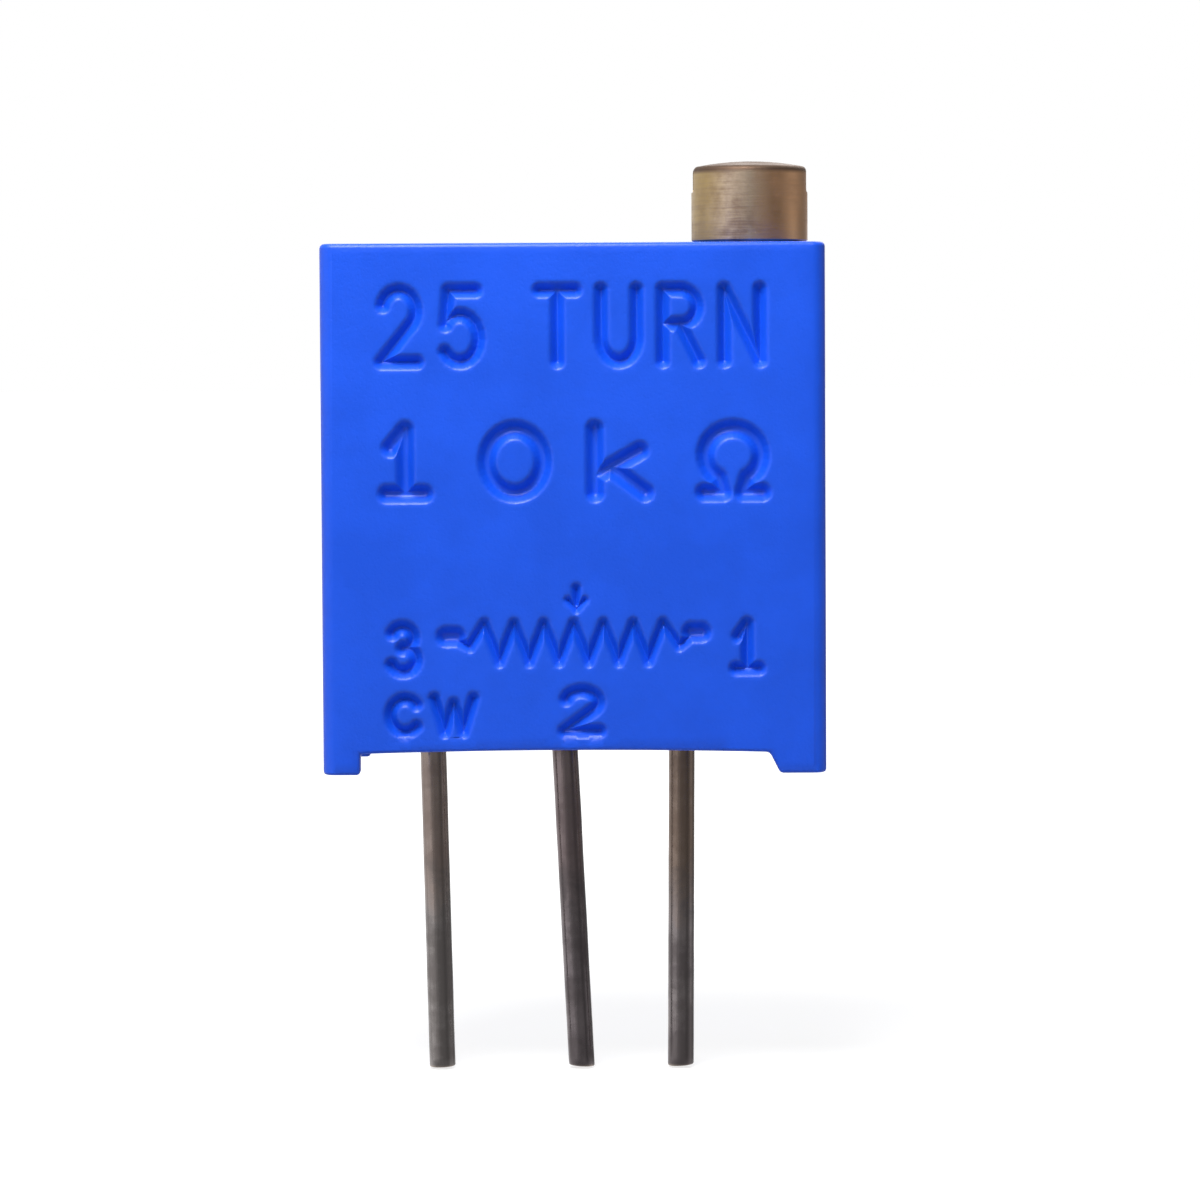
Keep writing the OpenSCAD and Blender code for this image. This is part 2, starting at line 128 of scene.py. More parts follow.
def box_mesh(low: Iterable[float], high: Iterable[float]) -> BMesh:
    """Makes a box between two opposite corners.

    Args:
        low: The lowest corner.
        high: The highest corner.

    Returns:
        A new bmesh with the box in it.
    """
    low, high = Vector(low), Vector(high)
    bm = bmesh.new()
    bmesh.ops.create_cube(bm, size=1.0)
    bmesh.ops.scale(bm, vec=high - low, verts=bm.verts)
    bmesh.ops.translate(bm, vec=(low + high) / 2, verts=bm.verts)
    return bm


def between(value: float, span: Point) -> bool:
    """Tells whether a value lies inside a span."""
    return span[0] < value < span[1]


def grid_lines(low: float, high: float, cell: float) -> np.ndarray:
    """Where the inner lines of a grid lie between its two sides."""
    return np.arange(low + cell, high, cell)


def verts_of(faces: Iterable[BMFace]) -> list[bmesh.types.BMVert]:
    """The corners of some faces, each one once."""
    return list({v for f in faces for v in f.verts})


def facing(bm: BMesh, axis: Axis, sign: int, level: float) -> list[BMFace]:
    """Finds the flat faces that lie on one plane and look one way.

    Args:
        bm: The mesh.
        axis: The axis that the plane is square to.
        sign: 1 for faces that look up the axis, -1 for down.
        level: Where the plane cuts the axis.

    Returns:
        The faces on that plane.
    """
    k = axis.value
    return [f for f in bm.faces
            if f.normal[k] * sign > ALONG and all(abs(v.co[k] - level) < TINY for v in f.verts)]


def edges_at(bm: BMesh, height: float) -> list[BMEdge]:
    """Finds the edges that lie level at one height."""
    return [e for e in bm.edges if all(abs(v.co.z - height) < TINY for v in e.verts)]


def runs_along(edge: BMEdge, axis: Axis, least: float) -> bool:
    """Tells whether an edge reaches further along an axis than a least length."""
    return abs(edge.verts[0].co[axis.value] - edge.verts[1].co[axis.value]) > least


def sharp_edges(bm: BMesh, angle: float = SHARP,
                inside: Callable[[Vector], bool] = lambda co: True) -> list[BMEdge]:
    """Finds the edges with both ends inside where the faces turn by more than an angle in degrees."""
    return [e for e in bm.edges if e.is_manifold and e.calc_face_angle() > math.radians(angle)
            and all(inside(v.co) for v in e.verts)]


def score(bm: BMesh, axis: Axis, sign: int, level: float, across: Axis, cuts: Iterable[float]) -> None:
    """Divides the faces of one plane along straight lines.

    Args:
        bm: The mesh.
        axis: The axis that the plane is square to.
        sign: The way its faces look.
        level: Where the plane cuts the axis.
        across: The axis that the lines are square to.
        cuts: Where the lines lie on that axis.
    """
    for cut in cuts:
        faces = facing(bm, axis, sign, level)
        edges = {e for f in faces for e in f.edges}
        bmesh.ops.bisect_plane(bm, geom=[*faces, *edges, *verts_of(faces)], dist=TINY,
                               plane_co=across.vector * cut, plane_no=across.vector)


def push(bm: BMesh, faces: list[BMFace], offset: Iterable[float]) -> list[BMFace]:
    """Extrudes a region of faces.

    Args:
        bm: The mesh.
        faces: The region.
        offset: How far and which way it moves.

    Returns:
        The moved faces.
    """
    made = bmesh.ops.extrude_face_region(bm, geom=faces)["geom"]
    moved = [g for g in made if isinstance(g, BMFace)]
    bmesh.ops.translate(bm, vec=Vector(offset), verts=verts_of(moved))
    bmesh.ops.delete(bm, geom=[f for f in faces if f.is_valid], context="FACES")
    bm.normal_update()
    return moved


def soften(bm: BMesh, edges: list[BMEdge], radius: float, segments: int = 2) -> None:
    """Rounds edges.

    Args:
        bm: The mesh.
        edges: The edges to round.
        radius: Radius of the rounding.
        segments: Number of flats on it.
    """
    bmesh.ops.bevel(bm, geom=edges, offset=radius, affect="EDGES", segments=segments, profile=0.5,
                    material=-1, clamp_overlap=True)
    bm.normal_update()


def merge_flats(bm: BMesh) -> None:
    """Joins neighbouring faces that lie in one plane."""
    bmesh.ops.dissolve_limit(bm, angle_limit=math.radians(FLAT), verts=bm.verts, edges=bm.edges)


def turned(profile: Iterable[Point], centre: Point, steps: int) -> BMesh:
    """Turns a profile round an upright axis into a closed solid.

    Args:
        profile: Radius and height of each corner, from the axis back to the axis.
        centre: X and Y of the axis.
        steps: Number of steps in the full turn.

    Returns:
        A new bmesh with the solid in it.
    """
    bm = bmesh.new()
    verts = [bm.verts.new((centre[0] + r, centre[1], z)) for r, z in profile]
    edges = [bm.edges.new(pair) for pair in zip(verts, verts[1:])]
    bmesh.ops.spin(bm, geom=verts + edges, cent=(*centre, 0.0), axis=Axis.Z.vector, angle=math.tau,
                   steps=steps, use_merge=True)
    bmesh.ops.remove_doubles(bm, verts=bm.verts, dist=TINY)
    bmesh.ops.recalc_face_normals(bm, faces=bm.faces)
    return bm


def shade(mesh: bpy.types.Mesh, crease: float) -> None:
    """Shades a mesh smoothly, but for the edges past an angle in degrees."""
    mesh.shade_smooth()
    mesh.set_sharp_from_angle(angle=math.radians(crease))


def to_piece(bm: BMesh, name: str, crease: float = 35.0) -> Piece:
    """Makes an object in metres from a mesh in millimetres.

    Args:
        bm: The mesh, which is used up.
        name: Name of the piece.
        crease: Angle in degrees past which an edge stays sharp.

    Returns:
        The new object, at the origin.
    """
    bmesh.ops.scale(bm, vec=(MM, MM, MM), verts=bm.verts)
    mesh = bpy.data.meshes.new(name)
    bm.to_mesh(mesh)
    bm.free()
    shade(mesh, crease)
    piece = bpy.data.objects.new(name, mesh)
    bpy.context.scene.collection.objects.link(piece)
    return piece


def to_bmesh(piece: Piece) -> BMesh:
    """Takes a piece apart again.

    Args:
        piece: The piece, which is removed.

    Returns:
        Its mesh in millimetres.
    """
    bm = bmesh.new()
    bm.from_mesh(piece.data)
    bpy.data.objects.remove(piece)
    bmesh.ops.scale(bm, vec=(1 / MM, 1 / MM, 1 / MM), verts=bm.verts)
    bm.normal_update()
    return bm


def combine(piece: Piece, tools: Iterable[Piece], operation: str) -> Piece:
    """Cuts tools out of a piece, or joins them to it.

    Args:
        piece: The piece to change.
        tools: The solids to apply, which are removed.
        operation: DIFFERENCE or UNION.

    Returns:
        The same piece with its mesh changed.
    """
    for tool in tools:
        modifier = piece.modifiers.new(tool.name, "BOOLEAN")
        modifier.operation, modifier.solver, modifier.object = operation, "EXACT", tool
        bpy.context.view_layer.update()
        evaluated = piece.evaluated_get(bpy.context.evaluated_depsgraph_get())
        mesh = bpy.data.meshes.new_from_object(evaluated)
        piece.modifiers.clear()
        piece.data = mesh
        bpy.data.objects.remove(tool)
    return piece


def direction(azimuth: float, elevation: float) -> Vector:
    """A unit vector out from the part: degrees to the right of the front, and above the horizon."""
    turn, rise = math.radians(azimuth), math.radians(elevation)
    return Vector((math.sin(turn) * math.cos(rise), -math.cos(turn) * math.cos(rise), math.sin(rise)))


def weight_normals(piece: Piece) -> None:
    """Lets the large flat faces of a piece set its shading."""
    modifier = piece.modifiers.new("flat_faces", "WEIGHTED_NORMAL")
    modifier.mode, modifier.weight, modifier.keep_sharp = "FACE_AREA", 50, True


def place(piece: Piece, body: Body, slot: Slot, material: Material, node: str) -> None:
    """Dresses a finished piece and hangs it on its body.

    Args:
        piece: The piece.
        body: The body that it rides on.
        slot: The record's slot for its finish; not used.
        material: Its material.
        node: The CAD node that it stands for.
    """
    piece.data.materials.clear()
    piece.data.materials.append(material)
    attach(piece, body.value)
    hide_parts(node)
    LOG.info("%s: %d faces, rides on %s", piece.name, len(piece.data.polygons), body.value)


# --- Materials -------------------------------------------------------------------------------


def toned(colour: Colour, factor: float) -> Colour:
    """Makes a colour lighter or darker, short of white."""
    return tuple(min(1.0, factor * c) for c in colour)


class Bench:
    """Adds nodes to one node tree and wires them up.

    Args:
        tree: The tree to work on.
    """

    def __init__(self, tree: Tree) -> None:
        """Takes the tree."""
        self.tree = tree

    @classmethod
    def fresh(cls, owner: Material | bpy.types.World) -> "Bench":
        """Clears the nodes of a material or a world.

        Args:
            owner: The material or the world.

        Returns:
            A bench on its nodes.
        """
        owner.use_nodes = True
        owner.node_tree.nodes.clear()
        return cls(owner.node_tree)

    def put(self, kind: str, inputs: dict | None = None, **settings: object) -> bpy.types.Node:
        """Adds one node.

        Args:
            kind: The node's type.
            inputs: What each input gets, by name or index: a value, or another node's output.
            settings: The node's own properties.

        Returns:
            The new node.
        """
        node = self.tree.nodes.new(kind)
        for key, value in settings.items():
            setattr(node, key, value)
        for key, value in (inputs or {}).items():
            if isinstance(value, Socket):
                self.tree.links.new(value, node.inputs[key])
            else:
                node.inputs[key].default_value = value
        return node

    def close(self, **outputs: Socket) -> Tree:
        """Gives a node group its outputs, all plain values.

        Args:
            outputs: What each output puts out, by name.

        Returns:
            The group.
        """
        for name in outputs:
            self.tree.interface.new_socket(name, in_out="OUTPUT", socket_type="NodeSocketFloat")
        self.put("NodeGroupOutput", outputs)
        return self.tree

    def math(self, operation: str, *values: Value) -> Socket:
        """Adds a Math node and returns its output."""
        return self.put("ShaderNodeMath", dict(enumerate(values)), operation=operation).outputs[0]

    def plus(self, first: Value, second: Value) -> Socket:
        """Adds two values."""
        return self.math("ADD", first, second)

    def minus(self, first: Value, second: Value) -> Socket:
        """Takes the second value from the first."""
        return self.math("SUBTRACT", first, second)

    def times(self, first: Value, second: Value) -> Socket:
        """Multiplies two values."""
        return self.math("MULTIPLY", first, second)

    def most(self, first: Value, second: Value) -> Socket:
        """Takes the larger of two values."""
        return self.math("MAXIMUM", first, second)

    def weigh(self, first: Socket, share: float, second: Socket) -> Socket:
        """Mixes two values: the first counts for its share and the second for the rest."""
        return self.plus(self.times(first, share), self.times(second, 1 - share))

    def blend(self, factor: Value, first: Colour | Socket, second: Colour | Socket) -> Socket:
        """Mixes two colours; the factor is the share of the second."""
        first, second = (c if isinstance(c, Socket) else (*c, 1.0) for c in (first, second))
        return self.put("ShaderNodeMix", {0: factor, 6: first, 7: second}, data_type="RGBA").outputs[2]

    def spread(self, value: Socket, low: Value, high: Value, to_low: Value = 0.0,
               to_high: Value = 1.0) -> Socket:
        """Maps the range from low to high of a value to the one from to_low to to_high, clamped."""
        return self.put("ShaderNodeMapRange", {0: value, 1: low, 2: high, 3: to_low, 4: to_high}).outputs[0]

    def clouds(self, vector: Socket, scale: Value, detail: float = 3.0, roughness: float = 0.5) -> Socket:
        """Adds a noise texture, about 0.5 on average; detail and roughness are of its finer layers."""
        return self.put("ShaderNodeTexNoise", {"Vector": vector, "Scale": scale, "Detail": detail,
                                               "Roughness": roughness}).outputs[0]

    def parts(self, vector: Socket) -> Outputs:
        """Splits a position into X, Y and Z."""
        return self.put("ShaderNodeSeparateXYZ", {0: vector}).outputs

    def reach(self, vector: Socket, way: Vector) -> Socket:
        """Measures how far out along a way a position lies."""
        return self.put("ShaderNodeVectorMath", {0: vector, 1: way}, operation="DOT_PRODUCT").outputs["Value"]


class Effect(Enum):
    """The surface effects that several finishes share."""

    MOTTLE = "mottle"
    GRAIN = "grain"
    STREAKS = "streaks"
    SPECKS = "specks"
    RUBBED_EDGES = "rubbed_edges"


class EffectShelf:
    """Builds each shared effect once, as a node group that reads a position in millimetres."""

    def __init__(self) -> None:
        """Starts with no groups made."""
        self._made: dict[Effect, Tree] = {}

    def place(self, bench: Bench, effect: Effect, **inputs: Value | Triple) -> Outputs:
        """Puts an effect into a material.

        Args:
            bench: The material's bench.
            effect: The effect.
            inputs: The group's inputs by name.

        Returns:
            The outputs of the group's node.
        """
        if effect not in self._made:
            self._made[effect] = getattr(self, f"_{effect.value}")()
        return bench.put("ShaderNodeGroup", inputs, node_tree=self._made[effect]).outputs

    @staticmethod
    def _group(effect: Effect, **inputs: float | None) -> tuple[Bench, Outputs]:
        """Starts a node group.

        Args:
            effect: The effect that it is for.
            inputs: The default of each input besides the position; None makes a vector input.

        Returns:
            A bench on the group, and what its inputs give.
        """
        tree = bpy.data.node_groups.new(effect.value, "ShaderNodeTree")
        for name, default in {"Vector": None, **inputs}.items():
            kind = "NodeSocketVector" if default is None else "NodeSocketFloat"
            socket = tree.interface.new_socket(name, in_out="INPUT", socket_type=kind)
            if default is not None:
                socket.default_value = default
        bench = Bench(tree)
        return bench, bench.put("NodeGroupInput").outputs

    def _mottle(self) -> Tree:
        """Soft cloudy variation in two sizes, about 0.5 on average.

        Returns:
            The group.
        """
        bench, given = self._group(Effect.MOTTLE, Scale=1.0, Contrast=1.0)
        wide = bench.clouds(given["Vector"], given["Scale"], 2.0)
        fine = bench.clouds(given["Vector"], bench.times(given["Scale"], 4.3), 4.0, 0.6)
        both = bench.weigh(wide, 0.65, fine)
        swing = bench.times(bench.minus(both, 0.5), bench.times(given["Contrast"], 2.0))
        return bench.close(Value=bench.plus(swing, 0.5))

    def _grain(self) -> Tree:
        """The fine even grain of a moulded, cast or fired surface, with its own height and mask.

        Returns:
            The group.
        """
        bench, given = self._group(Effect.GRAIN, Scale=20.0, Pits=0.3)
        fine = bench.clouds(given["Vector"], given["Scale"], 3.0, 0.6)
        cells = bench.put("ShaderNodeTexVoronoi", {"Vector": given["Vector"],
                                                   "Scale": bench.times(given["Scale"], 0.6)})
        pits = bench.spread(cells.outputs["Distance"], 0.0, 0.35, 1.0, 0.0)
        height = bench.minus(fine, bench.times(pits, given["Pits"]))
        return bench.close(Height=height, Mask=bench.spread(fine, 0.3, 0.7))

    def _streaks(self) -> Tree:
        """Fine lines: round the upright axis when Along is 0, or along it when Along is 1.

        Returns:
            The group.
        """
        bench, given = self._group(Effect.STREAKS, Scale=10.0, Along=0.0)
        x, y, z = bench.parts(given["Vector"])
        radius = bench.math("SQRT", bench.plus(bench.times(x, x), bench.times(y, y)))
        turn = bench.times(bench.math("ARCTAN2", y, x), 0.06)
        round_it = bench.put("ShaderNodeCombineXYZ", {0: turn, 1: 0.0, 2: bench.plus(z, radius)}).outputs[0]
        along_it = bench.put("ShaderNodeCombineXYZ", {0: x, 1: y, 2: bench.times(z, 0.04)}).outputs[0]
        vector = bench.put("ShaderNodeMix", {0: given["Along"], 4: round_it, 5: along_it},
                           data_type="VECTOR").outputs[1]
        coarse = bench.clouds(vector, given["Scale"], 2.0)
        fine = bench.clouds(vector, bench.times(given["Scale"], 3.7), 2.0, 0.6)
        height = bench.weigh(coarse, 0.6, fine)
        return bench.close(Height=height, Mask=bench.spread(height, 0.35, 0.65))

    def _specks(self) -> Tree:
        """Scattered small spots; Share is how much of each cell a spot may fill.

        Returns:
            The group.
        """
        bench, given = self._group(Effect.SPECKS, Scale=3.0, Share=0.12)
        cells = bench.put("ShaderNodeTexVoronoi", {"Vector": given["Vector"],
                                                   "Scale": given["Scale"]}).outputs
        chance = bench.put("ShaderNodeSeparateColor", {0: cells["Color"]}).outputs[0]
        return bench.close(Mask=bench.spread(cells["Distance"], bench.times(chance, given["Share"]), 0.0))

    def _rubbed_edges(self) -> Tree:
        """A mask along the edges of a box that is centred on the position's origin.

        Returns:
            The group.
        """
        bench, given = self._group(Effect.RUBBED_EDGES, Half=None, Width=0.2)
        near = []
        for part, half in zip(bench.parts(given["Vector"]), bench.parts(given["Half"])):
            inset = bench.minus(half, bench.math("ABSOLUTE", part))
            near.append(bench.spread(inset, 0.0, given["Width"], 1.0, 0.0))
        pairs = [bench.times(near[i], near[j]) for i, j in ((0, 1), (1, 2), (0, 2))]
        edge = bench.most(bench.most(pairs[0], pairs[1]), pairs[2])
        broken = bench.spread(bench.clouds(given["Vector"], 1.7), 0.35, 0.6, 0.2, 1.0)
        return bench.close(Mask=bench.times(edge, broken))


@dataclass(frozen=True)
class Site:
    """Where a finish wires its pattern.

    Args:
        bench: The material's bench.
        shelf: The shared effects.
        vector: The position in millimetres from the finish's centre.
    """

    bench: Bench
    shelf: EffectShelf
    vector: Socket

    def effect(self, effect: Effect, **inputs: Value | Triple) -> Outputs:
        """Puts a shared effect at this position and returns its outputs."""
        return self.shelf.place(self.bench, effect, Vector=self.vector, **inputs)


@dataclass
class Skin:
    """What a finish gives the shader at each point of a surface."""

    colour: Socket
    roughness: Socket
    height: Socket


@dataclass(frozen=True)
class Finish:
    """A finish of one material; each kind adds its own pattern in skin().

    Args:
        name: Name of the material.
        colour: Main colour, linear.
        accent: The colour that the pattern leans to, linear.
        roughness: Mean roughness.
        relief: Depth of the pattern in millimetres.
        scale: Scale of the pattern, per millimetre.
        metallic: 1 for a metal.
        specular: Strength of the plain reflection.
        centre: The point that the pattern is centred on, in millimetres.
        gloss: What the pattern's low and high ends add to the mean roughness.
    """

    name: str
    colour: Colour
    accent: Colour
    roughness: float = 0.45
    relief: float = 0.004
    scale: float = 10.0
    metallic: float = 0.0
    specular: float = 0.5
    centre: Triple = (0.0, 0.0, 0.0)
    gloss: Point = (-0.04, 0.04)

    def skin(self, site: Site) -> Skin:
        """Wires the pattern, which each kind of finish does in its own way."""
        raise NotImplementedError

    def rough(self, bench: Bench, mask: Socket, low: float, high: float) -> Socket:
        """Swings the roughness about its mean, over the range from low to high of a mask."""
        return bench.spread(mask, low, high, *(self.roughness + more for more in self.gloss))

    def make(self, shelf: EffectShelf) -> Material:
        """Builds the material.

        Args:
            shelf: The shared effects.

        Returns:
            The finished material.
        """
        material = bpy.data.materials.new(self.name)
        bench = Bench.fresh(material)
        place_of = bench.put("ShaderNodeTexCoord").outputs["Object"]
        mapping = bench.put("ShaderNodeMapping", {"Vector": place_of, "Location": [-c for c in self.centre],
                                                  "Scale": (1 / MM, 1 / MM, 1 / MM)})
        skin = self.skin(Site(bench, shelf, mapping.outputs[0]))
        bump = bench.put("ShaderNodeBump", {"Height": skin.height, "Strength": 1.0,
                                            "Distance": self.relief * MM})
        shader = bench.put("ShaderNodeBsdfPrincipled", {
            "Base Color": skin.colour, "Roughness": skin.roughness, "Metallic": self.metallic,
            "Specular IOR Level": self.specular, "Normal": bump.outputs[0]})
        bench.put("ShaderNodeOutputMaterial", {"Surface": shader.outputs[0]})
        material.diffuse_color = (*self.colour, 1.0)
        material.metallic, material.roughness = self.metallic, self.roughness
        return material


@dataclass(frozen=True)
class MouldedPlastic(Finish):
    """A moulded plastic: cloudy tint, spark-eroded grain, slow waves, a few specks and rubbed edges.

    Args:
        half: Half sizes of the moulding, which its edges are found from.
        edge: Width of the rubbed edges in millimetres.
        rub: How far the rubbed edges lean to the accent.
        cloud: How far the tint swings to the light and to the dark.
        waves: Depth of the slow waves against the grain's.
    """

    half: Triple = (1.0, 1.0, 1.0)
    edge: float = 0.22
    rub: float = 0.35
    cloud: float = 0.055
    waves: float = 2.5

    def skin(self, site: Site) -> Skin:
        """Wires the cloudy tint, the grain, the specks and the edges.

        Args:
            site: Where it is wired.

        Returns:
            The colour, roughness and height.
        """
        bench = site.bench
        tint = site.effect(Effect.MOTTLE, Scale=0.45, Contrast=1.6)[0]
        grain = site.effect(Effect.GRAIN, Scale=self.scale, Pits=0.35)
        specks = site.effect(Effect.SPECKS, Scale=1.6, Share=0.035)[0]
        edges = site.effect(Effect.RUBBED_EDGES, Half=self.half, Width=self.edge)[0]
        body = bench.blend(bench.spread(tint, 0.15, 0.85), toned(self.colour, 1 - self.cloud),
                           toned(self.colour, 1 + self.cloud))
        marks = bench.most(bench.times(edges, self.rub), bench.times(specks, 0.5))
        colour = bench.blend(marks, body, self.accent)
        rough = bench.plus(self.rough(bench, grain["Mask"], 0.0, 1.0), bench.times(tint, 0.05))
        wave = bench.times(bench.clouds(site.vector, 0.6, 1.0), self.waves)
        return Skin(colour, rough, bench.plus(grain["Height"], wave))


@dataclass(frozen=True)
class TurnedMetal(Finish):
    """A metal turned on a lathe: fine rings, small nicks, tarnish on one side, and painted shade on the rim.

    Args:
        tarnish: The colour of the heaviest tarnish, linear.
        clean: The colour of the side that has the least, linear.
        tarnish_turn: Degrees round the upright axis, from the front, where it is heaviest.
        clean_turn: Degrees round the upright axis, from the front, where there is the least.
        side_reach: How far out along its way each side starts and is complete, in millimetres.
        rim_shade_colour: The colour of the rim's painted shade, a dark band, linear.
        rim: Height above the centre where the rim's painted shade starts, in millimetres.
        rim_shade_fade: Height over which the painted shade comes in, in millimetres.
    """

    gloss: Point = (0.08, -0.06)
    tarnish: Colour = (0.2, 0.12, 0.07)
    clean: Colour = (0.5, 0.4, 0.25)
    tarnish_turn: float = 45.0
    clean_turn: float = -75.0
    side_reach: Point = (90.0, 91.0)
    # The rim's colour is painted shade: a dark band that dims the highlight along the rim.
    rim_shade_colour: Colour = (0.13, 0.085, 0.06)
    rim: float = 90.0
    rim_shade_fade: float = 0.08

    def skin(self, site: Site) -> Skin:
        """Wires the rings, the tarnish, the rim's painted shade and the nicks.

        Args:
            site: Where it is wired.

        Returns:
            The colour, roughness and height.
        """
        bench = site.bench
        rings = site.effect(Effect.STREAKS, Scale=self.scale, Along=0.0)
        tarnish = site.effect(Effect.MOTTLE, Scale=1.4, Contrast=2.2)[0]
        nicks = site.effect(Effect.SPECKS, Scale=4.0, Share=0.1)[0]
        stain = bench.weigh(tarnish, 0.55, rings["Mask"])
        body = bench.blend(bench.spread(stain, 0.25, 0.75), self.accent, self.colour)
        streaky = bench.spread(rings["Mask"], 0.0, 1.0, 0.7, 1.0)
        for turn, tint in ((self.clean_turn, self.clean), (self.tarnish_turn, self.tarnish)):
            out = bench.reach(site.vector, direction(turn, 0.0))
            body = bench.blend(bench.times(bench.spread(out, *self.side_reach), streaky), body, tint)
        # Painted shade: the colour goes dark brown towards the top, over the rim, dimming its highlight.
        top = bench.spread(bench.parts(site.vector)[2], self.rim, self.rim + self.rim_shade_fade)
        colour = bench.blend(top, body, self.rim_shade_colour)
        rough = bench.plus(self.rough(bench, stain, 0.2, 0.8), bench.times(top, 0.2))
        return Skin(colour, rough, bench.minus(rings["Height"], bench.times(nicks, 0.6)))


@dataclass(frozen=True)
class DrawnWire(Finish):
    """A tinned wire: die lines, dull oxide patches, tin ripples, and a brown heat stain with painted shadow
    near the housing.

    Args:
        bare: The colour of the metal where it was cut, linear.
        cut: Height above the centre where the cut ends, in millimetres.
        cut_fade: Height over which the bare metal fades, in millimetres.
        stain: The colour of the band near the housing, partly heat stain and partly painted shadow, linear.
        stain_shadow_z: Heights above the centre between which the stain and painted shadow come in, in
            millimetres.
        stain_shadow_share: Share of the stain and painted shadow where they are strongest.
    """

    gloss: Point = (0.08, -0.08)
    bare: Colour = (0.5, 0.42, 0.36)
    cut: float = -90.0
    cut_fade: float = 0.06
    # The stain darkens the wire towards the housing: partly a heat stain, partly painted shadow.
    stain: Colour = (0.2, 0.14, 0.11)
    stain_shadow_z: Point = (90.0, 91.0)
    stain_shadow_share: float = 0.6

    def skin(self, site: Site) -> Skin:
        """Wires the die lines, the oxide, the stain with its painted shadow, and the ripples.

        Args:
            site: Where it is wired.

        Returns:
            The colour, roughness and height.
        """
        bench = site.bench
        lines = site.effect(Effect.STREAKS, Scale=self.scale, Along=1.0)
        oxide = site.effect(Effect.MOTTLE, Scale=1.1, Contrast=2.6)[0]
        grain = site.effect(Effect.GRAIN, Scale=6.0, Pits=0.2)
        dull = bench.weigh(oxide, 0.7, lines["Mask"])
        coat = bench.blend(bench.spread(dull, 0.15, 0.85), self.accent, self.colour)
        height_of = bench.parts(site.vector)[2]
        ragged = bench.plus(height_of, bench.times(oxide, 0.8))
        # Darker brown towards the housing: partly heat stain, partly painted shadow.
        stained_and_shaded = bench.blend(bench.spread(ragged, *self.stain_shadow_z, 0.0, self.stain_shadow_share), coat, self.stain)
        tip = bench.spread(height_of, self.cut, self.cut + self.cut_fade, 1.0, 0.0)
        colour = bench.blend(tip, stained_and_shaded, self.bare)
        height = bench.plus(lines["Height"], bench.times(grain["Height"], 0.8))
        return Skin(colour, self.rough(bench, dull, 0.2, 0.8), height)


@dataclass(frozen=True)
class RolledSheet(Finish):
    """Stamped sheet metal: rolling lines with a little haze."""

    gloss: Point = (-0.05, 0.1)

    def skin(self, site: Site) -> Skin:
        """Wires the rolling lines and the haze.

        Args:
            site: Where it is wired.

        Returns:
            The colour, roughness and height.
        """
        bench = site.bench
        lines = site.effect(Effect.STREAKS, Scale=self.scale, Along=1.0)
        haze = site.effect(Effect.MOTTLE, Scale=0.9, Contrast=1.5)[0]
        colour = bench.blend(haze, self.accent, self.colour)
        return Skin(colour, self.rough(bench, lines["Mask"], 0.0, 1.0), lines["Height"])


@dataclass(frozen=True)
class PrintedFilm(Finish):
    """A fired film: the faint weave of the printing screen and dark or bright grains.

    Args:
        weave: Scale of the screen's weave, per millimetre.
    """

    gloss: Point = (-0.06, 0.06)
    weave: float = 6.0

    def skin(self, site: Site) -> Skin:
        """Wires the weave and the grains.

        Args:
            site: Where it is wired.

        Returns:
            The colour, roughness and height.
        """
        bench = site.bench
        grain = site.effect(Effect.GRAIN, Scale=self.scale, Pits=0.6)
        warp, weft = (bench.put("ShaderNodeTexWave", {"Vector": site.vector, "Scale": self.weave},
                                bands_direction=way).outputs[1] for way in ("X", "Z"))
        mesh = bench.times(warp, weft)
        colour = bench.blend(grain["Mask"], self.accent, self.colour)
        height = bench.plus(grain["Height"], bench.times(mesh, 0.5))
        return Skin(colour, self.rough(bench, mesh, 0.0, 1.0), height)


@dataclass(frozen=True)
class Granular(Finish):
    """A fired, cast or vulcanised body: fine grain over a cloudy ground, with small pits or fillers.

    Args:
        speck_share: How large its pits or filler grains are.
        flow: Depth of the slow waves against the grain's.
    """

    gloss: Point = (-0.07, 0.07)
    speck_share: float = 0.08
    flow: float = 1.0

    def skin(self, site: Site) -> Skin:
        """Wires the grain, the ground and the specks.

        Args:
            site: Where it is wired.

        Returns:
            The colour, roughness and height.
        """
        bench = site.bench
        ground = site.effect(Effect.MOTTLE, Scale=0.8, Contrast=1.8)[0]
        grain = site.effect(Effect.GRAIN, Scale=self.scale, Pits=0.4)
        specks = site.effect(Effect.SPECKS, Scale=3.0, Share=self.speck_share)[0]
        tone = bench.weigh(ground, 0.6, grain["Mask"])
        share = bench.most(bench.spread(tone, 0.2, 0.8, 0.0, 0.6), specks)
        colour = bench.blend(share, self.colour, self.accent)
        waves = bench.times(bench.clouds(site.vector, 1.2, 1.0), self.flow)
        return Skin(colour, self.rough(bench, tone, 0.2, 0.8), bench.plus(grain["Height"], waves))


# --- The engraved marks ----------------------------------------------------------------------


def arc(centre: Point, radii: Point, start: float, end: float, steps: int = 14) -> list[Point]:
    """Draws part of an ellipse, between two angles in degrees from the right and anticlockwise."""
    angles = [math.radians(start + (end - start) * i / steps) for i in range(steps + 1)]
    return [(centre[0] + radii[0] * math.cos(a), centre[1] + radii[1] * math.sin(a)) for a in angles]


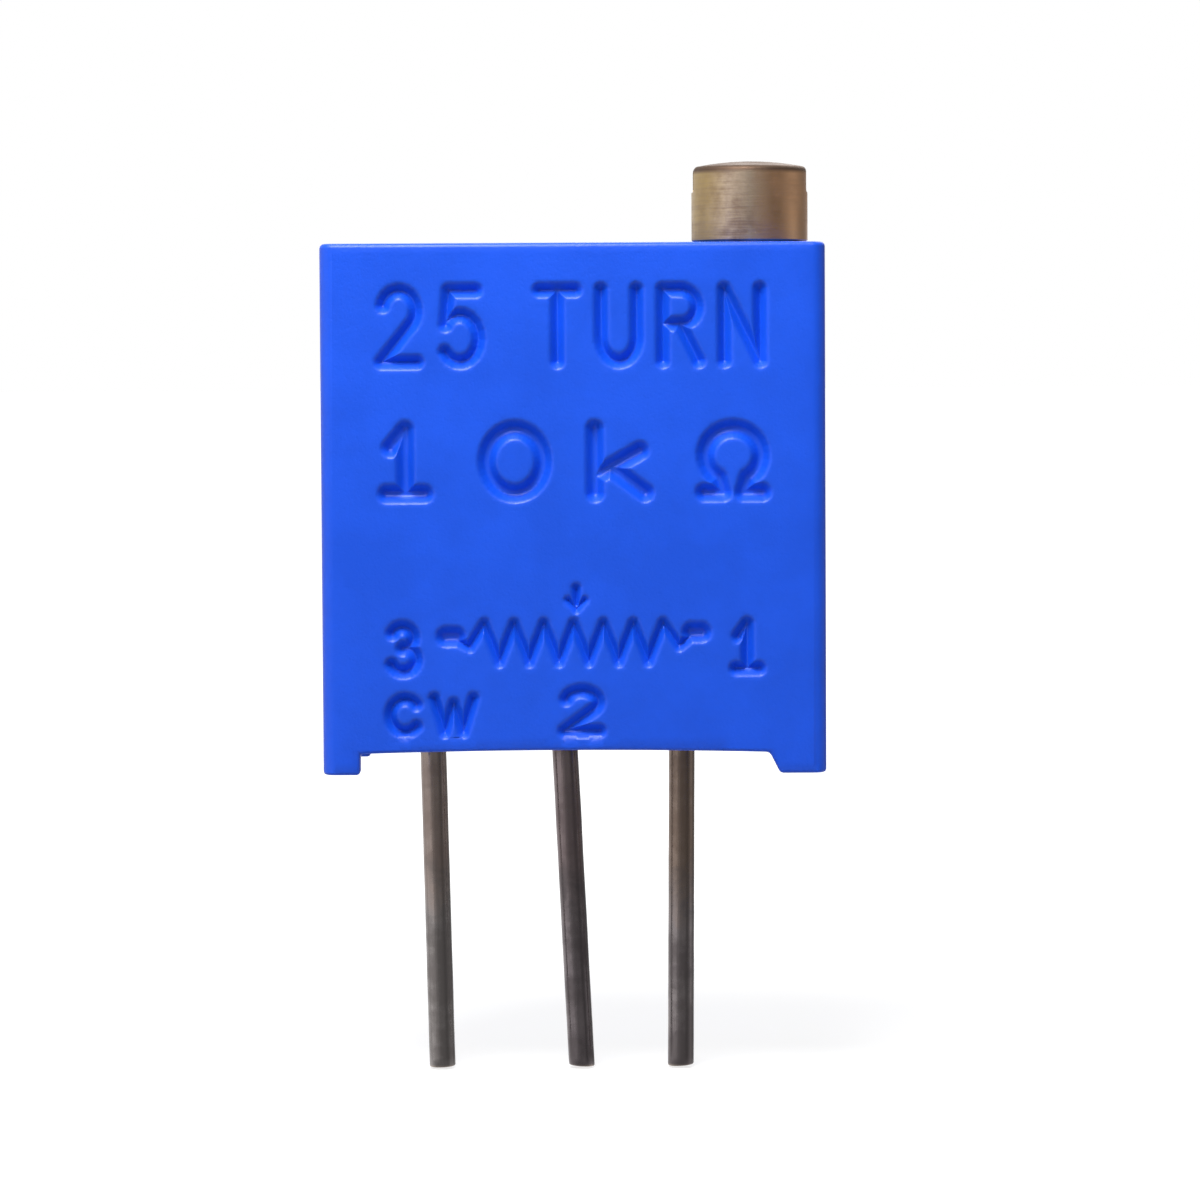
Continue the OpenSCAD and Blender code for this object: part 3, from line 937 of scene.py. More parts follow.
# Each sign as the paths of the engraving tool, in a cell one unit wide and one unit high
SIGNS: dict[str, list[list[Point]]] = {
    "0": [arc((0.5, 0.5), (0.5, 0.5), 90, 450, 32)],
    "1": [[(0.15, 0.72), (0.5, 1.0), (0.5, 0.0)], [(0.05, 0.0), (0.95, 0.0)]],
    "2": [arc((0.5, 0.72), (0.47, 0.28), 165, -38) + [(0.0, 0.0), (1.0, 0.0)]],
    "3": [arc((0.47, 0.76), (0.43, 0.24), 155, -90), arc((0.5, 0.27), (0.5, 0.27), 90, -155)],
    "5": [[(0.92, 1.0), (0.16, 1.0), (0.08, 0.52)] + arc((0.48, 0.33), (0.52, 0.33), 138, -145)],
    "C": [arc((0.52, 0.5), (0.52, 0.5), 42, 318, 24)],
    "W": [[(0.0, 1.0), (0.26, 0.0), (0.5, 0.85), (0.74, 0.0), (1.0, 1.0)]],
    "T": [[(0.0, 1.0), (1.0, 1.0)], [(0.5, 1.0), (0.5, 0.0)]],
    "U": [[(0.0, 1.0)] + arc((0.5, 0.34), (0.5, 0.34), 180, 360) + [(1.0, 1.0)]],
    "R": [[(0.0, 0.0), (0.0, 1.0), (0.5, 1.0)] + arc((0.5, 0.76), (0.46, 0.24), 90, -90) + [(0.0, 0.52)],
          [(0.48, 0.52), (1.0, 0.0)]],
    "N": [[(0.0, 0.0), (0.0, 1.0), (1.0, 0.0), (1.0, 1.0)]],
    "k": [[(0.0, 0.0), (0.0, 1.0)], [(0.9, 0.66), (0.0, 0.26)], [(0.3, 0.4), (1.0, 0.0)]],
    "ohm": [[(0.0, 0.0), (0.32, 0.0)] + arc((0.5, 0.58), (0.48, 0.42), 238, -58, 24)
            + [(0.68, 0.0), (1.0, 0.0)]],
}


@dataclass(frozen=True)
class Mark:
    """One engraved sign.

    Args:
        sign: Its name in SIGNS.
        left: X of its left side.
        bottom: Z of its foot.
        width: Its width.
        height: Its height.
        half_stroke: Half the width of a stroke.
    """

    sign: str
    left: float
    bottom: float
    width: float
    height: float
    half_stroke: float

    def paths(self) -> list[list[Point]]:
        """The tool's paths on the face.

        Returns:
            The points along each path.
        """
        inset = self.half_stroke
        across, up = self.width - 2 * inset, self.height - 2 * inset
        return [[(self.left + inset + x * across, self.bottom + inset + z * up) for x, z in path]
                for path in SIGNS[self.sign]]


@dataclass(frozen=True)
class Engraving:
    """Everything that is engraved in the front face, with a softly rounded groove for each stroke.

    Args:
        depth: Depth of a stroke.
        wall: Width over which a groove's rounded side falls.
        shoulder: How far outside the stroke's edge the side starts.
        top_line: Signs of the top line; an empty one is the space between its words.
        top_cell: The first sign of the top line, whose size the others share.
        top_space: Width of the space.
        top_gap: Gap after each sign or space.
        value_line: The signs of the value.
        terminals: The terminals' numbers and the sign for the way of turning.
    """

    depth: float = 0.18
    wall: float = 0.22
    shoulder: float = 0.05
    top_line: tuple[str, ...] = ("2", "5", "", "T", "U", "R", "N")
    top_cell: Mark = Mark("2", -3.55, 7.66, 0.95, 1.62, 0.14)
    top_space: float = 0.45
    top_gap: float = 0.21
    value_line: tuple[Mark, ...] = (
        Mark("1", -3.55, 5.14, 1.15, 1.56, 0.18), Mark("0", -1.62, 5.14, 1.42, 1.56, 0.18),
        Mark("k", 0.42, 5.14, 1.3, 1.56, 0.18), Mark("ohm", 2.48, 5.14, 1.45, 1.56, 0.18))
    terminals: tuple[Mark, ...] = (
        Mark("3", -3.42, 1.82, 0.76, 1.12, 0.14), Mark("1", 3.08, 1.85, 0.76, 1.12, 0.14),
        Mark("C", -3.42, 0.69, 0.8, 0.88, 0.13), Mark("W", -2.58, 0.69, 0.98, 0.88, 0.12),
        Mark("2", -0.14, 0.68, 0.94, 1.04, 0.14))

    def marks(self) -> list[Mark]:
        """The signs of the two lines and of the terminals.

        Returns:
            The signs from the top down.
        """
        made = []
        left = self.top_cell.left
        for sign in self.top_line:
            if sign:
                made.append(replace(self.top_cell, sign=sign, left=left))
            left += (self.top_cell.width if sign else self.top_space) + self.top_gap
        return [*made, *self.value_line, *self.terminals]

    @staticmethod
    def symbol() -> list[tuple[list[Point], float]]:
        """Draws the resistor symbol with its two terminals and the wiper's arrow.

        Returns:
            The points along each path, and half the width of its stroke.
        """
        first_peak, pitch, top, bottom = -1.505, 0.5627, 2.86, 2.13
        zigzag = [(first_peak + pitch * i / 2, bottom if i % 2 else top) for i in range(13)]
        line = [(-2.14, 2.6), (-1.78, 2.42), *zigzag, (2.17, 2.42), (2.5, 2.68)]
        arrow = [([(0.235, 3.52), (0.235, 3.2)], 0.1), ([(0.08, 3.3), (0.235, 3.12), (0.39, 3.3)], 0.08)]
        dots = [([(x - 0.09, z), (x + 0.09, z)], 0.2) for x, z in ((-2.14, 2.62), (2.5, 2.68))]
        return [(line, 0.11), *arrow, *dots]

    def segments(self) -> np.ndarray:
        """All strokes as straight segments: two ends and a half width in each row.

        Returns:
            A row for each segment.
        """
        paths = [(path, mark.half_stroke) for mark in self.marks() for path in mark.paths()]
        paths += self.symbol()
        return np.array([(*a, *b, half) for path, half in paths for a, b in zip(path, path[1:])])

    def distance(self, points: np.ndarray, block_size: int = 4000) -> np.ndarray:
        """Measures how far points lie outside the nearest stroke's edge.

        Args:
            points: X and Z of each point.
            block_size: About how many points are measured at once.

        Returns:
            The distance of each; inside a stroke it is negative.
        """
        rows = self.segments()
        start, along, half = rows[:, :2], rows[:, 2:4] - rows[:, :2], rows[:, 4]
        length = np.maximum((along ** 2).sum(1), TINY ** 2)
        nearest = np.full(len(points), np.inf)
        for block in np.array_split(np.arange(len(points)), max(1, len(points) // block_size)):
            offset = points[block, None, :] - start[None]
            share = np.clip((offset * along[None]).sum(2) / length, 0.0, 1.0)
            gap = np.linalg.norm(offset - share[..., None] * along[None], axis=2) - half
            nearest[block] = gap.min(1)
        return nearest

    def depths(self, points: np.ndarray) -> np.ndarray:
        """How deep the face is engraved at each point."""
        share = np.clip((self.shoulder - self.distance(points)) / self.wall, 0.0, 1.0)
        return self.depth * (1 - np.cos(share * math.pi)) / 2


# --- The pieces ------------------------------------------------------------------------------


@dataclass
class Housing:
    """The moulded housing: feet, rim and well below, chambers inside, marks in front."""

    engraving: Engraving = field(default_factory=Engraving)
    corner_r: float = 0.25
    corner_flats: int = 6
    top_r: float = 0.09
    top_flats: int = 3
    foot_r: float = 0.06
    standoff: float = 0.4
    underside_arch: float = 0.055
    arch_cuts: int = 15
    rail_least: float = 5.0
    foot_left_w: float = 0.7
    foot_right_w: float = 0.88
    foot_flare: float = 0.2
    rim_wall: float = 0.6
    rim_side: float = 0.5
    floor_z: float = 2.45
    side_wall: float = 1.12
    rib_inset: float = 0.855
    cavity_y: Point = (-1.665, 1.735)
    ceiling_z: float = 9.23
    chamber_r: float = 1.0
    bore_r: float = 0.97
    bore_flats: int = 64
    overcut: float = 0.1
    cell: float = 0.24
    refine_margins: tuple[float, ...] = (0.24, 0.12, 0.06, 0.03)
    refine_least: float = 0.7
    crease: float = 50.0

    def __post_init__(self) -> None:
        """Reads the moulding's box, the clip's box and the screw's axis, and sets out the underside."""
        self.low, self.high = node_box("housing")
        self.clip_low, self.clip_high = node_box("retaining_clip")
        self.screw_x = sum(corner.x for corner in node_box("adjusting_screw")) / 2
        self.cavity_x = (self.low.x + self.side_wall, self.screw_x - self.rib_inset)
        self.well_x = (self.low.x + self.rim_side, self.high.x - self.rim_side)
        self.well_y = (self.low.y + self.rim_wall, self.high.y - self.rim_wall)
        self.foot_x = (self.low.x + self.foot_left_w, self.high.x - self.foot_right_w - self.foot_flare)

    def block(self) -> BMesh:
        """Makes the block with rounded corners, its feet, rim and well, and the space for the wheel.

        Returns:
            The block.
        """
        bm = box_mesh((self.low.x, self.low.y, self.standoff), self.high)
        soften(bm, [e for e in bm.edges if runs_along(e, Axis.Z, TINY)], self.corner_r, self.corner_flats)
        score(bm, Axis.Z, -1, self.standoff, Axis.X, (*self.well_x, *self.foot_x))
        score(bm, Axis.Z, -1, self.standoff, Axis.Y, self.well_y)
        self.make_feet(bm)
        self.sink(bm, self.standoff, self.well_x, self.well_y, self.floor_z)
        score(bm, Axis.Z, -1, self.floor_z, Axis.X, self.cavity_x)
        score(bm, Axis.Z, -1, self.floor_z, Axis.Y, self.cavity_y)
        self.sink(bm, self.floor_z, self.cavity_x, self.cavity_y, self.ceiling_z)
        merge_flats(bm)
        return bm

    def make_feet(self, bm: BMesh) -> None:
        """Extrudes the four feet and slopes the inner sides of the right ones.

        Args:
            bm: The block.
        """
        feet = [f for f in facing(bm, Axis.Z, -1, self.standoff)
                if not between(f.calc_center_median().y, self.well_y)
                and not between(f.calc_center_median().x, self.foot_x)]
        push(bm, feet, (0, 0, -self.standoff))
        slope = [v for v in bm.verts if abs(v.co.z) < TINY and abs(v.co.x - self.foot_x[1]) < TINY]
        bmesh.ops.translate(bm, vec=(self.foot_flare, 0, 0), verts=slope)

    @staticmethod
    def sink(bm: BMesh, level: float, x_span: Point, y_span: Point, top: float) -> None:
        """Sinks a pocket into the faces that look down.

        Args:
            bm: The block, already scored round the pocket.
            level: Z of the faces.
            x_span: The pocket's sides.
            y_span: Its front and back.
            top: Z of its ceiling.
        """
        faces = [f for f in facing(bm, Axis.Z, -1, level)
                 if between(f.calc_center_median().x, x_span) and between(f.calc_center_median().y, y_span)]
        push(bm, faces, (0, 0, top - level))

    def arch(self, bm: BMesh) -> None:
        """Raises the underside a little between the feet, where the moulding shrank.

        Args:
            bm: The block.
        """
        rails = [e for e in edges_at(bm, self.standoff)
                 if runs_along(e, Axis.X, self.rail_least) and not runs_along(e, Axis.Y, TINY)]
        bmesh.ops.subdivide_edges(bm, edges=rails, cuts=self.arch_cuts)
        left, right = self.foot_x
        for vert in bm.verts:
            if abs(vert.co.z - self.standoff) < TINY and between(vert.co.x, self.foot_x):
                share = (vert.co.x - (left + right) / 2) / ((right - left) / 2)
                vert.co.z += self.underside_arch * (1 - share * share)
        bm.normal_update()

    def round_edges(self, bm: BMesh) -> None:
        """Rounds the top rim, the feet and the edges of the underside.

        Args:
            bm: The block.
        """
        soften(bm, edges_at(bm, self.high.z), self.top_r, self.top_flats)
        limit = self.standoff + self.underside_arch + TINY
        soften(bm, sharp_edges(bm, inside=lambda co: co.z < limit), self.foot_r)

    def cutters(self) -> list[Piece]:
        """The screw's chamber, its bore and the clip's slot, as solids to cut away.

        Returns:
            The three solids.
        """
        made = []
        for name, radius, bottom, top in (
                ("chamber", self.chamber_r, self.floor_z - self.overcut, self.clip_low.z + self.overcut),
                ("bore", self.bore_r, self.clip_low.z - self.overcut, self.high.z + self.overcut)):
            bm = bmesh.new()
            bmesh.ops.create_cone(bm, cap_ends=True, segments=self.bore_flats, radius1=radius,
                                  radius2=radius, depth=top - bottom,
                                  matrix=Matrix.Translation((self.screw_x, 0, (top + bottom) / 2)))
            made.append(to_piece(bm, name))
        return [*made, to_piece(box_mesh(self.clip_low, self.clip_high), "clip_slot")]

    def engrave(self, bm: BMesh) -> None:
        """Divides the front face finely along the strokes and sinks them.

        Args:
            bm: The housing.
        """
        front = (bm, Axis.Y, -1, self.low.y)
        score(*front, Axis.X, grid_lines(self.low.x, self.high.x, self.cell))
        score(*front, Axis.Z, grid_lines(0.0, self.high.z, self.cell))
        length = self.cell
        for margin in self.refine_margins:
            edges = list({e for f in facing(*front) for e in f.edges})
            middles = np.array([((e.verts[0].co + e.verts[1].co) / 2).xz for e in edges])
            near = self.engraving.distance(middles) < margin
            chosen = [e for e, close in zip(edges, near)
                      if close and e.calc_length() > self.refine_least * length]
            bmesh.ops.subdivide_edges(bm, edges=chosen, cuts=1, use_grid_fill=True)
            length /= 2
        verts = verts_of(facing(*front))
        sunk = self.engraving.depths(np.array([v.co.xz for v in verts]))
        for vert, depth in zip(verts, sunk):
            vert.co.y += float(depth)
        bm.normal_update()

    def build(self, material: Material) -> Piece:
        """Builds the housing.

        Args:
            material: Its plastic.

        Returns:
            The finished piece.
        """
        bm = self.block()
        self.arch(bm)
        self.round_edges(bm)
        bm = to_bmesh(combine(to_piece(bm, "housing_block"), self.cutters(), "DIFFERENCE"))
        bmesh.ops.remove_doubles(bm, verts=bm.verts, dist=TINY)
        self.engrave(bm)
        piece = to_piece(bm, "housing_shell", self.crease)
        weight_normals(piece)
        place(piece, Body.HOUSING, Slot.HOUSING, material, "housing")
        return piece


@dataclass
class AdjustingScrew:
    """The brass screw: slotted head, shaft with its seal groove, neck, collar, worm and tail."""

    head_bottom: float = 10.06
    rim: float = 0.1
    rim_flats: int = 5
    dome: float = 0.1
    crown_shares: tuple[float, ...] = (0.85, 0.65, 0.45, 0.22)
    slot_half_w: float = 0.28
    slot_depth: float = 0.6
    slot_reach: float = 1.5
    slot_over: float = 0.5
    slot_corner_r: float = 0.08
    slot_corner_flats: int = 3
    shaft_r: float = 0.92
    groove_r: float = 0.66
    groove_z: Point = (9.385, 9.675)
    neck_r: float = 0.6
    neck_z: Point = (8.6, 9.0)
    collar_bottom: float = 8.2
    worm_r: float = 0.92
    root_r: float = 0.54
    worm_bottom: float = 2.48
    thread_mid_z: float = 5.89
    thread_sink: float = 0.06
    thread_steps: int = 40
    pitch: float = 0.58905
    turns: int = 6
    crest_half: float = 0.059
    root_half: float = 0.197
    tail_r: float = 0.45
    tail_bottom: float = 2.08
    end_bevel: float = 0.05
    edge_bevel: float = 0.04
    steps: int = 96
    edge_r: float = 0.018
    edge_angle: float = 50.0
    edge_zone: float = 0.2
    crease: float = 32.0

    def __post_init__(self) -> None:
        """Reads the screw's axis and its head's size from the frame."""
        low, high = node_box("adjusting_screw")
        self.centre = ((low.x + high.x) / 2, (low.y + high.y) / 2)
        self.head_r = (high.x - low.x) / 2
        self.head_top = high.z
        self.slot_bottom = self.head_top - self.slot_depth

    def rod_profile(self) -> list[Point]:
        """Radius and height of each corner of the turned body, from the tail up.

        Returns:
            The corners.
        """
        end, edge = self.end_bevel, self.edge_bevel
        low_groove, high_groove = self.groove_z
        low_neck, high_neck = self.neck_z
        rim_top = self.head_top - self.dome
        rounding = [(self.head_r - self.rim * (1 - math.cos(a)), rim_top - self.rim * (1 - math.sin(a)))
                    for a in (math.radians(90 * i / self.rim_flats) for i in range(self.rim_flats + 1))]
        crown = [((self.head_r - self.rim) * share, rim_top + self.dome * (1 - share * share))
                 for share in self.crown_shares]
        tail = [(0.0, self.tail_bottom), (self.tail_r - end, self.tail_bottom),
                (self.tail_r, self.tail_bottom + end), (self.tail_r, self.worm_bottom),
                (self.root_r, self.worm_bottom), (self.root_r, self.collar_bottom)]
        collar = [(self.worm_r - edge, self.collar_bottom), (self.worm_r, self.collar_bottom + edge),
                  (self.worm_r, low_neck - edge), (self.worm_r - edge, low_neck)]
        shaft = [(self.neck_r, low_neck), (self.neck_r, high_neck), (self.shaft_r - edge, high_neck),
                 (self.shaft_r, high_neck + edge), (self.shaft_r, low_groove), (self.groove_r, low_groove),
                 (self.groove_r, high_groove), (self.shaft_r, high_groove), (self.shaft_r, self.head_bottom)]
        head = [(self.head_r - end, self.head_bottom), (self.head_r, self.head_bottom + end)]
        return [*tail, *collar, *shaft, *head, *rounding, *crown, (0.0, self.head_top)]

    def thread(self) -> Piece:
        """The worm's thread as a ridge wound round the root.

        Returns:
            The ridge.
        """
        bm = bmesh.new()
        height = self.turns * self.pitch
        bottom = self.thread_mid_z - height / 2
        inner = self.root_r - self.thread_sink
        corners = [(inner, -self.root_half), (self.root_r, -self.root_half), (self.worm_r, -self.crest_half),
                   (self.worm_r, self.crest_half), (self.root_r, self.root_half), (inner, self.root_half)]
        verts = [bm.verts.new((self.centre[0] - r, self.centre[1], bottom + z)) for r, z in corners]
        face = bm.faces.new(verts)
        steps = self.turns * self.thread_steps
        bmesh.ops.spin(bm, geom=[face], cent=(*self.centre, 0.0), axis=Axis.Z.vector,
                       dvec=(0.0, 0.0, height / steps), angle=math.tau * self.turns, steps=steps)
        bmesh.ops.recalc_face_normals(bm, faces=bm.faces)
        return to_piece(bm, "thread")

    def driver_slot(self) -> Piece:
        """The screwdriver slot as a solid to cut away, with rounded lower corners.

        Returns:
            The solid.
        """
        bm = box_mesh((self.centre[0] - self.slot_reach, -self.slot_half_w, self.slot_bottom),
                      (self.centre[0] + self.slot_reach, self.slot_half_w, self.head_top + self.slot_over))
        lower = [e for e in edges_at(bm, self.slot_bottom) if runs_along(e, Axis.X, TINY)]
        soften(bm, lower, self.slot_corner_r, self.slot_corner_flats)
        return to_piece(bm, "driver_slot_tool")

    def build(self, material: Material) -> Piece:
        """Builds the screw.

        Args:
            material: Its brass.

        Returns:
            The finished piece.
        """
        rod = to_piece(turned(self.rod_profile(), self.centre, self.steps), "screw_rod")
        combine(rod, [self.thread()], "UNION")
        combine(rod, [self.driver_slot()], "DIFFERENCE")
        bm = to_bmesh(rod)
        bmesh.ops.remove_doubles(bm, verts=bm.verts, dist=TINY)
        lowest = self.slot_bottom + self.edge_zone
        soften(bm, sharp_edges(bm, self.edge_angle, lambda co: co.z > lowest), self.edge_r)
        piece = to_piece(bm, "slotted_screw", self.crease)
        weight_normals(piece)
        place(piece, Body.SCREW, Slot.SCREW, material, "adjusting_screw")
        return piece


@dataclass
class Lead:
    """One tinned lead: a round wire that leans as it was bent, on a flat strip inside the resin.

    Args:
        number: The terminal's number.
        foot: X where the wire crosses the seating plane.
        lean: How far its tip stands to the right of that point.
        cut_slant: How far the nippers' cut rises across the tip, to the right, or to the left if negative.
    """

    number: int
    foot: float
    lean: float
    cut_slant: float
    radius: float = 0.255
    length: float = 5.9
    tip_r: float = 0.03
    tin_swell: float = 0.015
    tin_bias: float = 0.9
    tin_grain: Triple = (1.5, 1.5, 1.3)
    tin_step: float = 7.0
    strip_half_w: float = 0.28
    strip_z: Point = (0.71, 0.89)
    strip_top: float = 1.75
    strip_y: Triple = (-0.28, 0.895, 1.075)
    strip_r: float = 0.025
    strip_drop: float = 0.06
    overlap: float = 0.09
    flats: int = 32
    rings: int = 34
    crease: float = 40.0

    def centre_x(self, z: float) -> float:
        """X of the wire's axis at a height."""
        return self.foot - self.lean * z / self.length

    def tin(self, spot: Vector) -> float:
        """How much thicker than the bare wire the tin makes it at a point.

        Args:
            spot: The point.

        Returns:
            The factor on the wire's radius.
        """
        across, along, up = (place * grain for place, grain in zip(spot, self.tin_grain))
        lump = noise.noise(Vector((across, along, up + self.number * self.tin_step)))
        return 1 + self.tin_swell * (lump - self.tin_bias)

    def wire(self) -> BMesh:
        """Makes the wire, uneven from its tin and nipped off at the tip.

        Returns:
            The wire.
        """
        bm = bmesh.new()
        top = self.strip_z[0] + self.overlap
        tip = -self.length
        made = bmesh.ops.create_circle(bm, cap_ends=True, segments=self.flats, radius=self.radius,
                                       matrix=Matrix.Translation((self.centre_x(top), 0, top)))
        step = (tip - top) / self.rings
        faces = [f for v in made["verts"] for f in v.link_faces][:1]
        for _ in range(self.rings):
            faces = push(bm, faces, (-self.lean * step / self.length, 0, step))
        for vert in bm.verts:
            axis = Vector((self.centre_x(vert.co.z), 0, vert.co.z))
            vert.co = axis + (vert.co - axis) * self.tin(vert.co)
            if abs(vert.co.z - tip) < TINY:
                across = (vert.co.x - axis.x) / (2 * self.radius)
                vert.co.z += self.cut_slant * across + abs(self.cut_slant) / 2
        limit = tip + abs(self.cut_slant) + TINY
        soften(bm, sharp_edges(bm, inside=lambda co: co.z < limit), self.tip_r)
        bmesh.ops.recalc_face_normals(bm, faces=bm.faces)
        return bm

    def strip(self) -> Piece:
        """Makes the flat strip that turns up against the ceramic.

        Returns:
            The strip.
        """
        front, inner, back = self.strip_y
        low, high = self.strip_z
        middle = self.centre_x(low - self.strip_drop)
        bm = box_mesh((middle - self.strip_half_w, front, low), (middle + self.strip_half_w, back, high))
        score(bm, Axis.Z, 1, high, Axis.Y, [inner])
        upright = [f for f in facing(bm, Axis.Z, 1, high) if f.calc_center_median().y > inner]
        push(bm, upright, (0, 0, self.strip_top - high))
        merge_flats(bm)
        soften(bm, sharp_edges(bm), self.strip_r)
        return to_piece(bm, f"strip_{self.number}")

    def build(self, material: Material) -> Piece:
        """Builds the lead.

        Args:
            material: Its tin.

        Returns:
            The finished piece.
        """
        piece = combine(to_piece(self.wire(), f"lead_{self.number}"), [self.strip()], "UNION")
        shade(piece.data, self.crease)
        place(piece, Body.HOUSING, Slot.LEAD, material, f"terminal_{self.number}")
        return piece


@dataclass
class PottingFill:
    """The resin that seals the well, drawn up a little along the rim and round the leads."""

    leads: list[Lead]
    meniscus: float = 0.07
    wire_share: float = 0.8
    reach: float = 0.22
    ripple: float = 0.02
    ripple_grain: float = 0.8
    ripple_seed: float = 3.0
    cell: float = 0.14
    crease: float = 50.0

    def __post_init__(self) -> None:
        """Reads the resin's box from the frame."""
        self.low, self.high = node_box("potting")

    def rise(self, x: float, y: float) -> float:
        """How far the resin creeps down at a point of its face.

        Args:
            x: X of the point.
            y: Y of the point.

        Returns:
            The distance in millimetres.
        """
        wall = min(x - self.low.x, self.high.x - x, y - self.low.y, self.high.y - y)
        wires = min(math.hypot(x - lead.centre_x(self.low.z), y) - lead.radius for lead in self.leads)
        at_wall, at_wires = (math.exp(-max(gap, 0.0) / self.reach) for gap in (wall, wires))
        ripple = noise.noise(Vector((x * self.ripple_grain, y * self.ripple_grain, self.ripple_seed)))
        return self.meniscus * (at_wall + self.wire_share * at_wires) + self.ripple * ripple

    def build(self, material: Material) -> Piece:
        """Builds the resin.

        Args:
            material: Its resin.

        Returns:
            The finished piece.
        """
        bm = box_mesh(self.low, self.high)
        face = (bm, Axis.Z, -1, self.low.z)
        score(*face, Axis.X, grid_lines(self.low.x, self.high.x, self.cell))
        score(*face, Axis.Y, grid_lines(self.low.y, self.high.y, self.cell))
        for vert in verts_of(facing(*face)):
            vert.co.z -= self.rise(vert.co.x, vert.co.y)
        piece = to_piece(bm, "potting_fill", self.crease)
        place(piece, Body.HOUSING, Slot.RESIN, material, "potting")
        return piece


# --- The parts that keep their CAD shape -----------------------------------------------------


@dataclass
class Mechanism:
    """The inner parts, which keep their CAD shape and get their finishes here."""

    shelf: EffectShelf

    def finishes(self) -> dict[Finish, tuple[str, ...]]:
        """Each finish with the nodes that wear it.

        Returns:
            The nodes by their finish.
        """
        wheel = tuple((a + b) / 2 for a, b in zip(*node_box("rotor_wheel")))
        return {
            Granular("seal_rubber", (0.018, 0.018, 0.019), (0.045, 0.045, 0.045), 0.6, 0.004, 18.0,
                     specular=0.35): ("shaft_seal",),
            RolledSheet("clip_steel", (0.56, 0.56, 0.55), (0.44, 0.44, 0.43), 0.3, 0.003, 9.0,
                        metallic=1.0): ("retaining_clip",),
            MouldedPlastic("rotor_plastic", (0.72, 0.69, 0.59), (0.8, 0.78, 0.7), 0.42, 0.003, 14.0,
                           centre=wheel, half=(3.15, 1.1, 3.15)): ("rotor_wheel",),
            RolledSheet("wiper_alloy", (0.74, 0.57, 0.3), (0.62, 0.45, 0.22), 0.24, 0.002, 12.0,
                        metallic=1.0): ("wiper_spring",),
            TurnedMetal("pivot_metal", (0.6, 0.58, 0.55), (0.45, 0.43, 0.4), 0.28, 0.002, 12.0,
                        metallic=1.0, centre=wheel): ("pivot_pin",),
            Granular("alumina_ceramic", (0.84, 0.84, 0.81), (0.74, 0.73, 0.7), 0.55, 0.003, 22.0,
                     speck_share=0.03): ("ceramic_element",),
            PrintedFilm("resistive_film", (0.05, 0.05, 0.05), (0.025, 0.025, 0.028), 0.4, 0.003,
                        24.0): ("resistive_track",),
            PrintedFilm("conductor_film", (0.6, 0.59, 0.56), (0.45, 0.44, 0.42), 0.38, 0.003, 24.0,
                        metallic=1.0): ("collector_track", "end_conductor_1", "end_conductor_3"),
            DrawnWire("solder_metal", (0.5, 0.5, 0.5), (0.36, 0.36, 0.37), 0.3, 0.005, 5.0,
                      metallic=1.0): ("solder_joint_1", "solder_joint_2", "solder_joint_3"),
            MouldedPlastic("plate_plastic", (0.012, 0.085, 0.56), (0.08, 0.17, 0.62), 0.48, 0.003, 14.0,
                           centre=(0.19, 0.0, 2.2), half=(4.27, 1.82, 0.25)): ("closure_plate",),
        }

    def dress(self) -> None:
        """Gives each inner part its finish."""
        for finish, nodes in self.finishes().items():
            material = finish.make(self.shelf)
            for node in nodes:
                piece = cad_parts[node]
                if not piece.material_slots:
                    piece.data.materials.append(material)
                for slot in piece.material_slots:
                    slot.material = material
                LOG.info("%s: keeps its CAD shape, finished as %s", node, finish.name)


# --- The studio ------------------------------------------------------------------------------


@dataclass(frozen=True)
class Lamp:
    """A soft square lamp that looks at the middle of the part.

    Args:
        name: Its name.
        azimuth: Degrees round the part from the front, positive to the right.
        elevation: Degrees above the horizon.
        distance: Distance in millimetres.
        size: Side in millimetres.
        level: What a white card facing it at the part would show, where 1 is white.
    """

    name: str
    azimuth: float
    elevation: float
    distance: float
    size: float
    level: float

    def hang(self, target: Vector) -> None:
        """Makes the lamp.

        Args:
            target: The point that it looks at, in millimetres.
        """
        away = direction(self.azimuth, self.elevation)
        data = bpy.data.lights.new(self.name, "AREA")
        data.shape, data.size = "SQUARE", self.size * MM
        data.energy = self.level * math.pi * math.pi * (self.distance * MM) ** 2
        lamp = bpy.data.objects.new(self.name, data)
        lamp.location = (target + away * self.distance) * MM
        lamp.rotation_euler = (-away).to_track_quat("-Z", "Y").to_euler()
        bpy.context.scene.collection.objects.link(lamp)


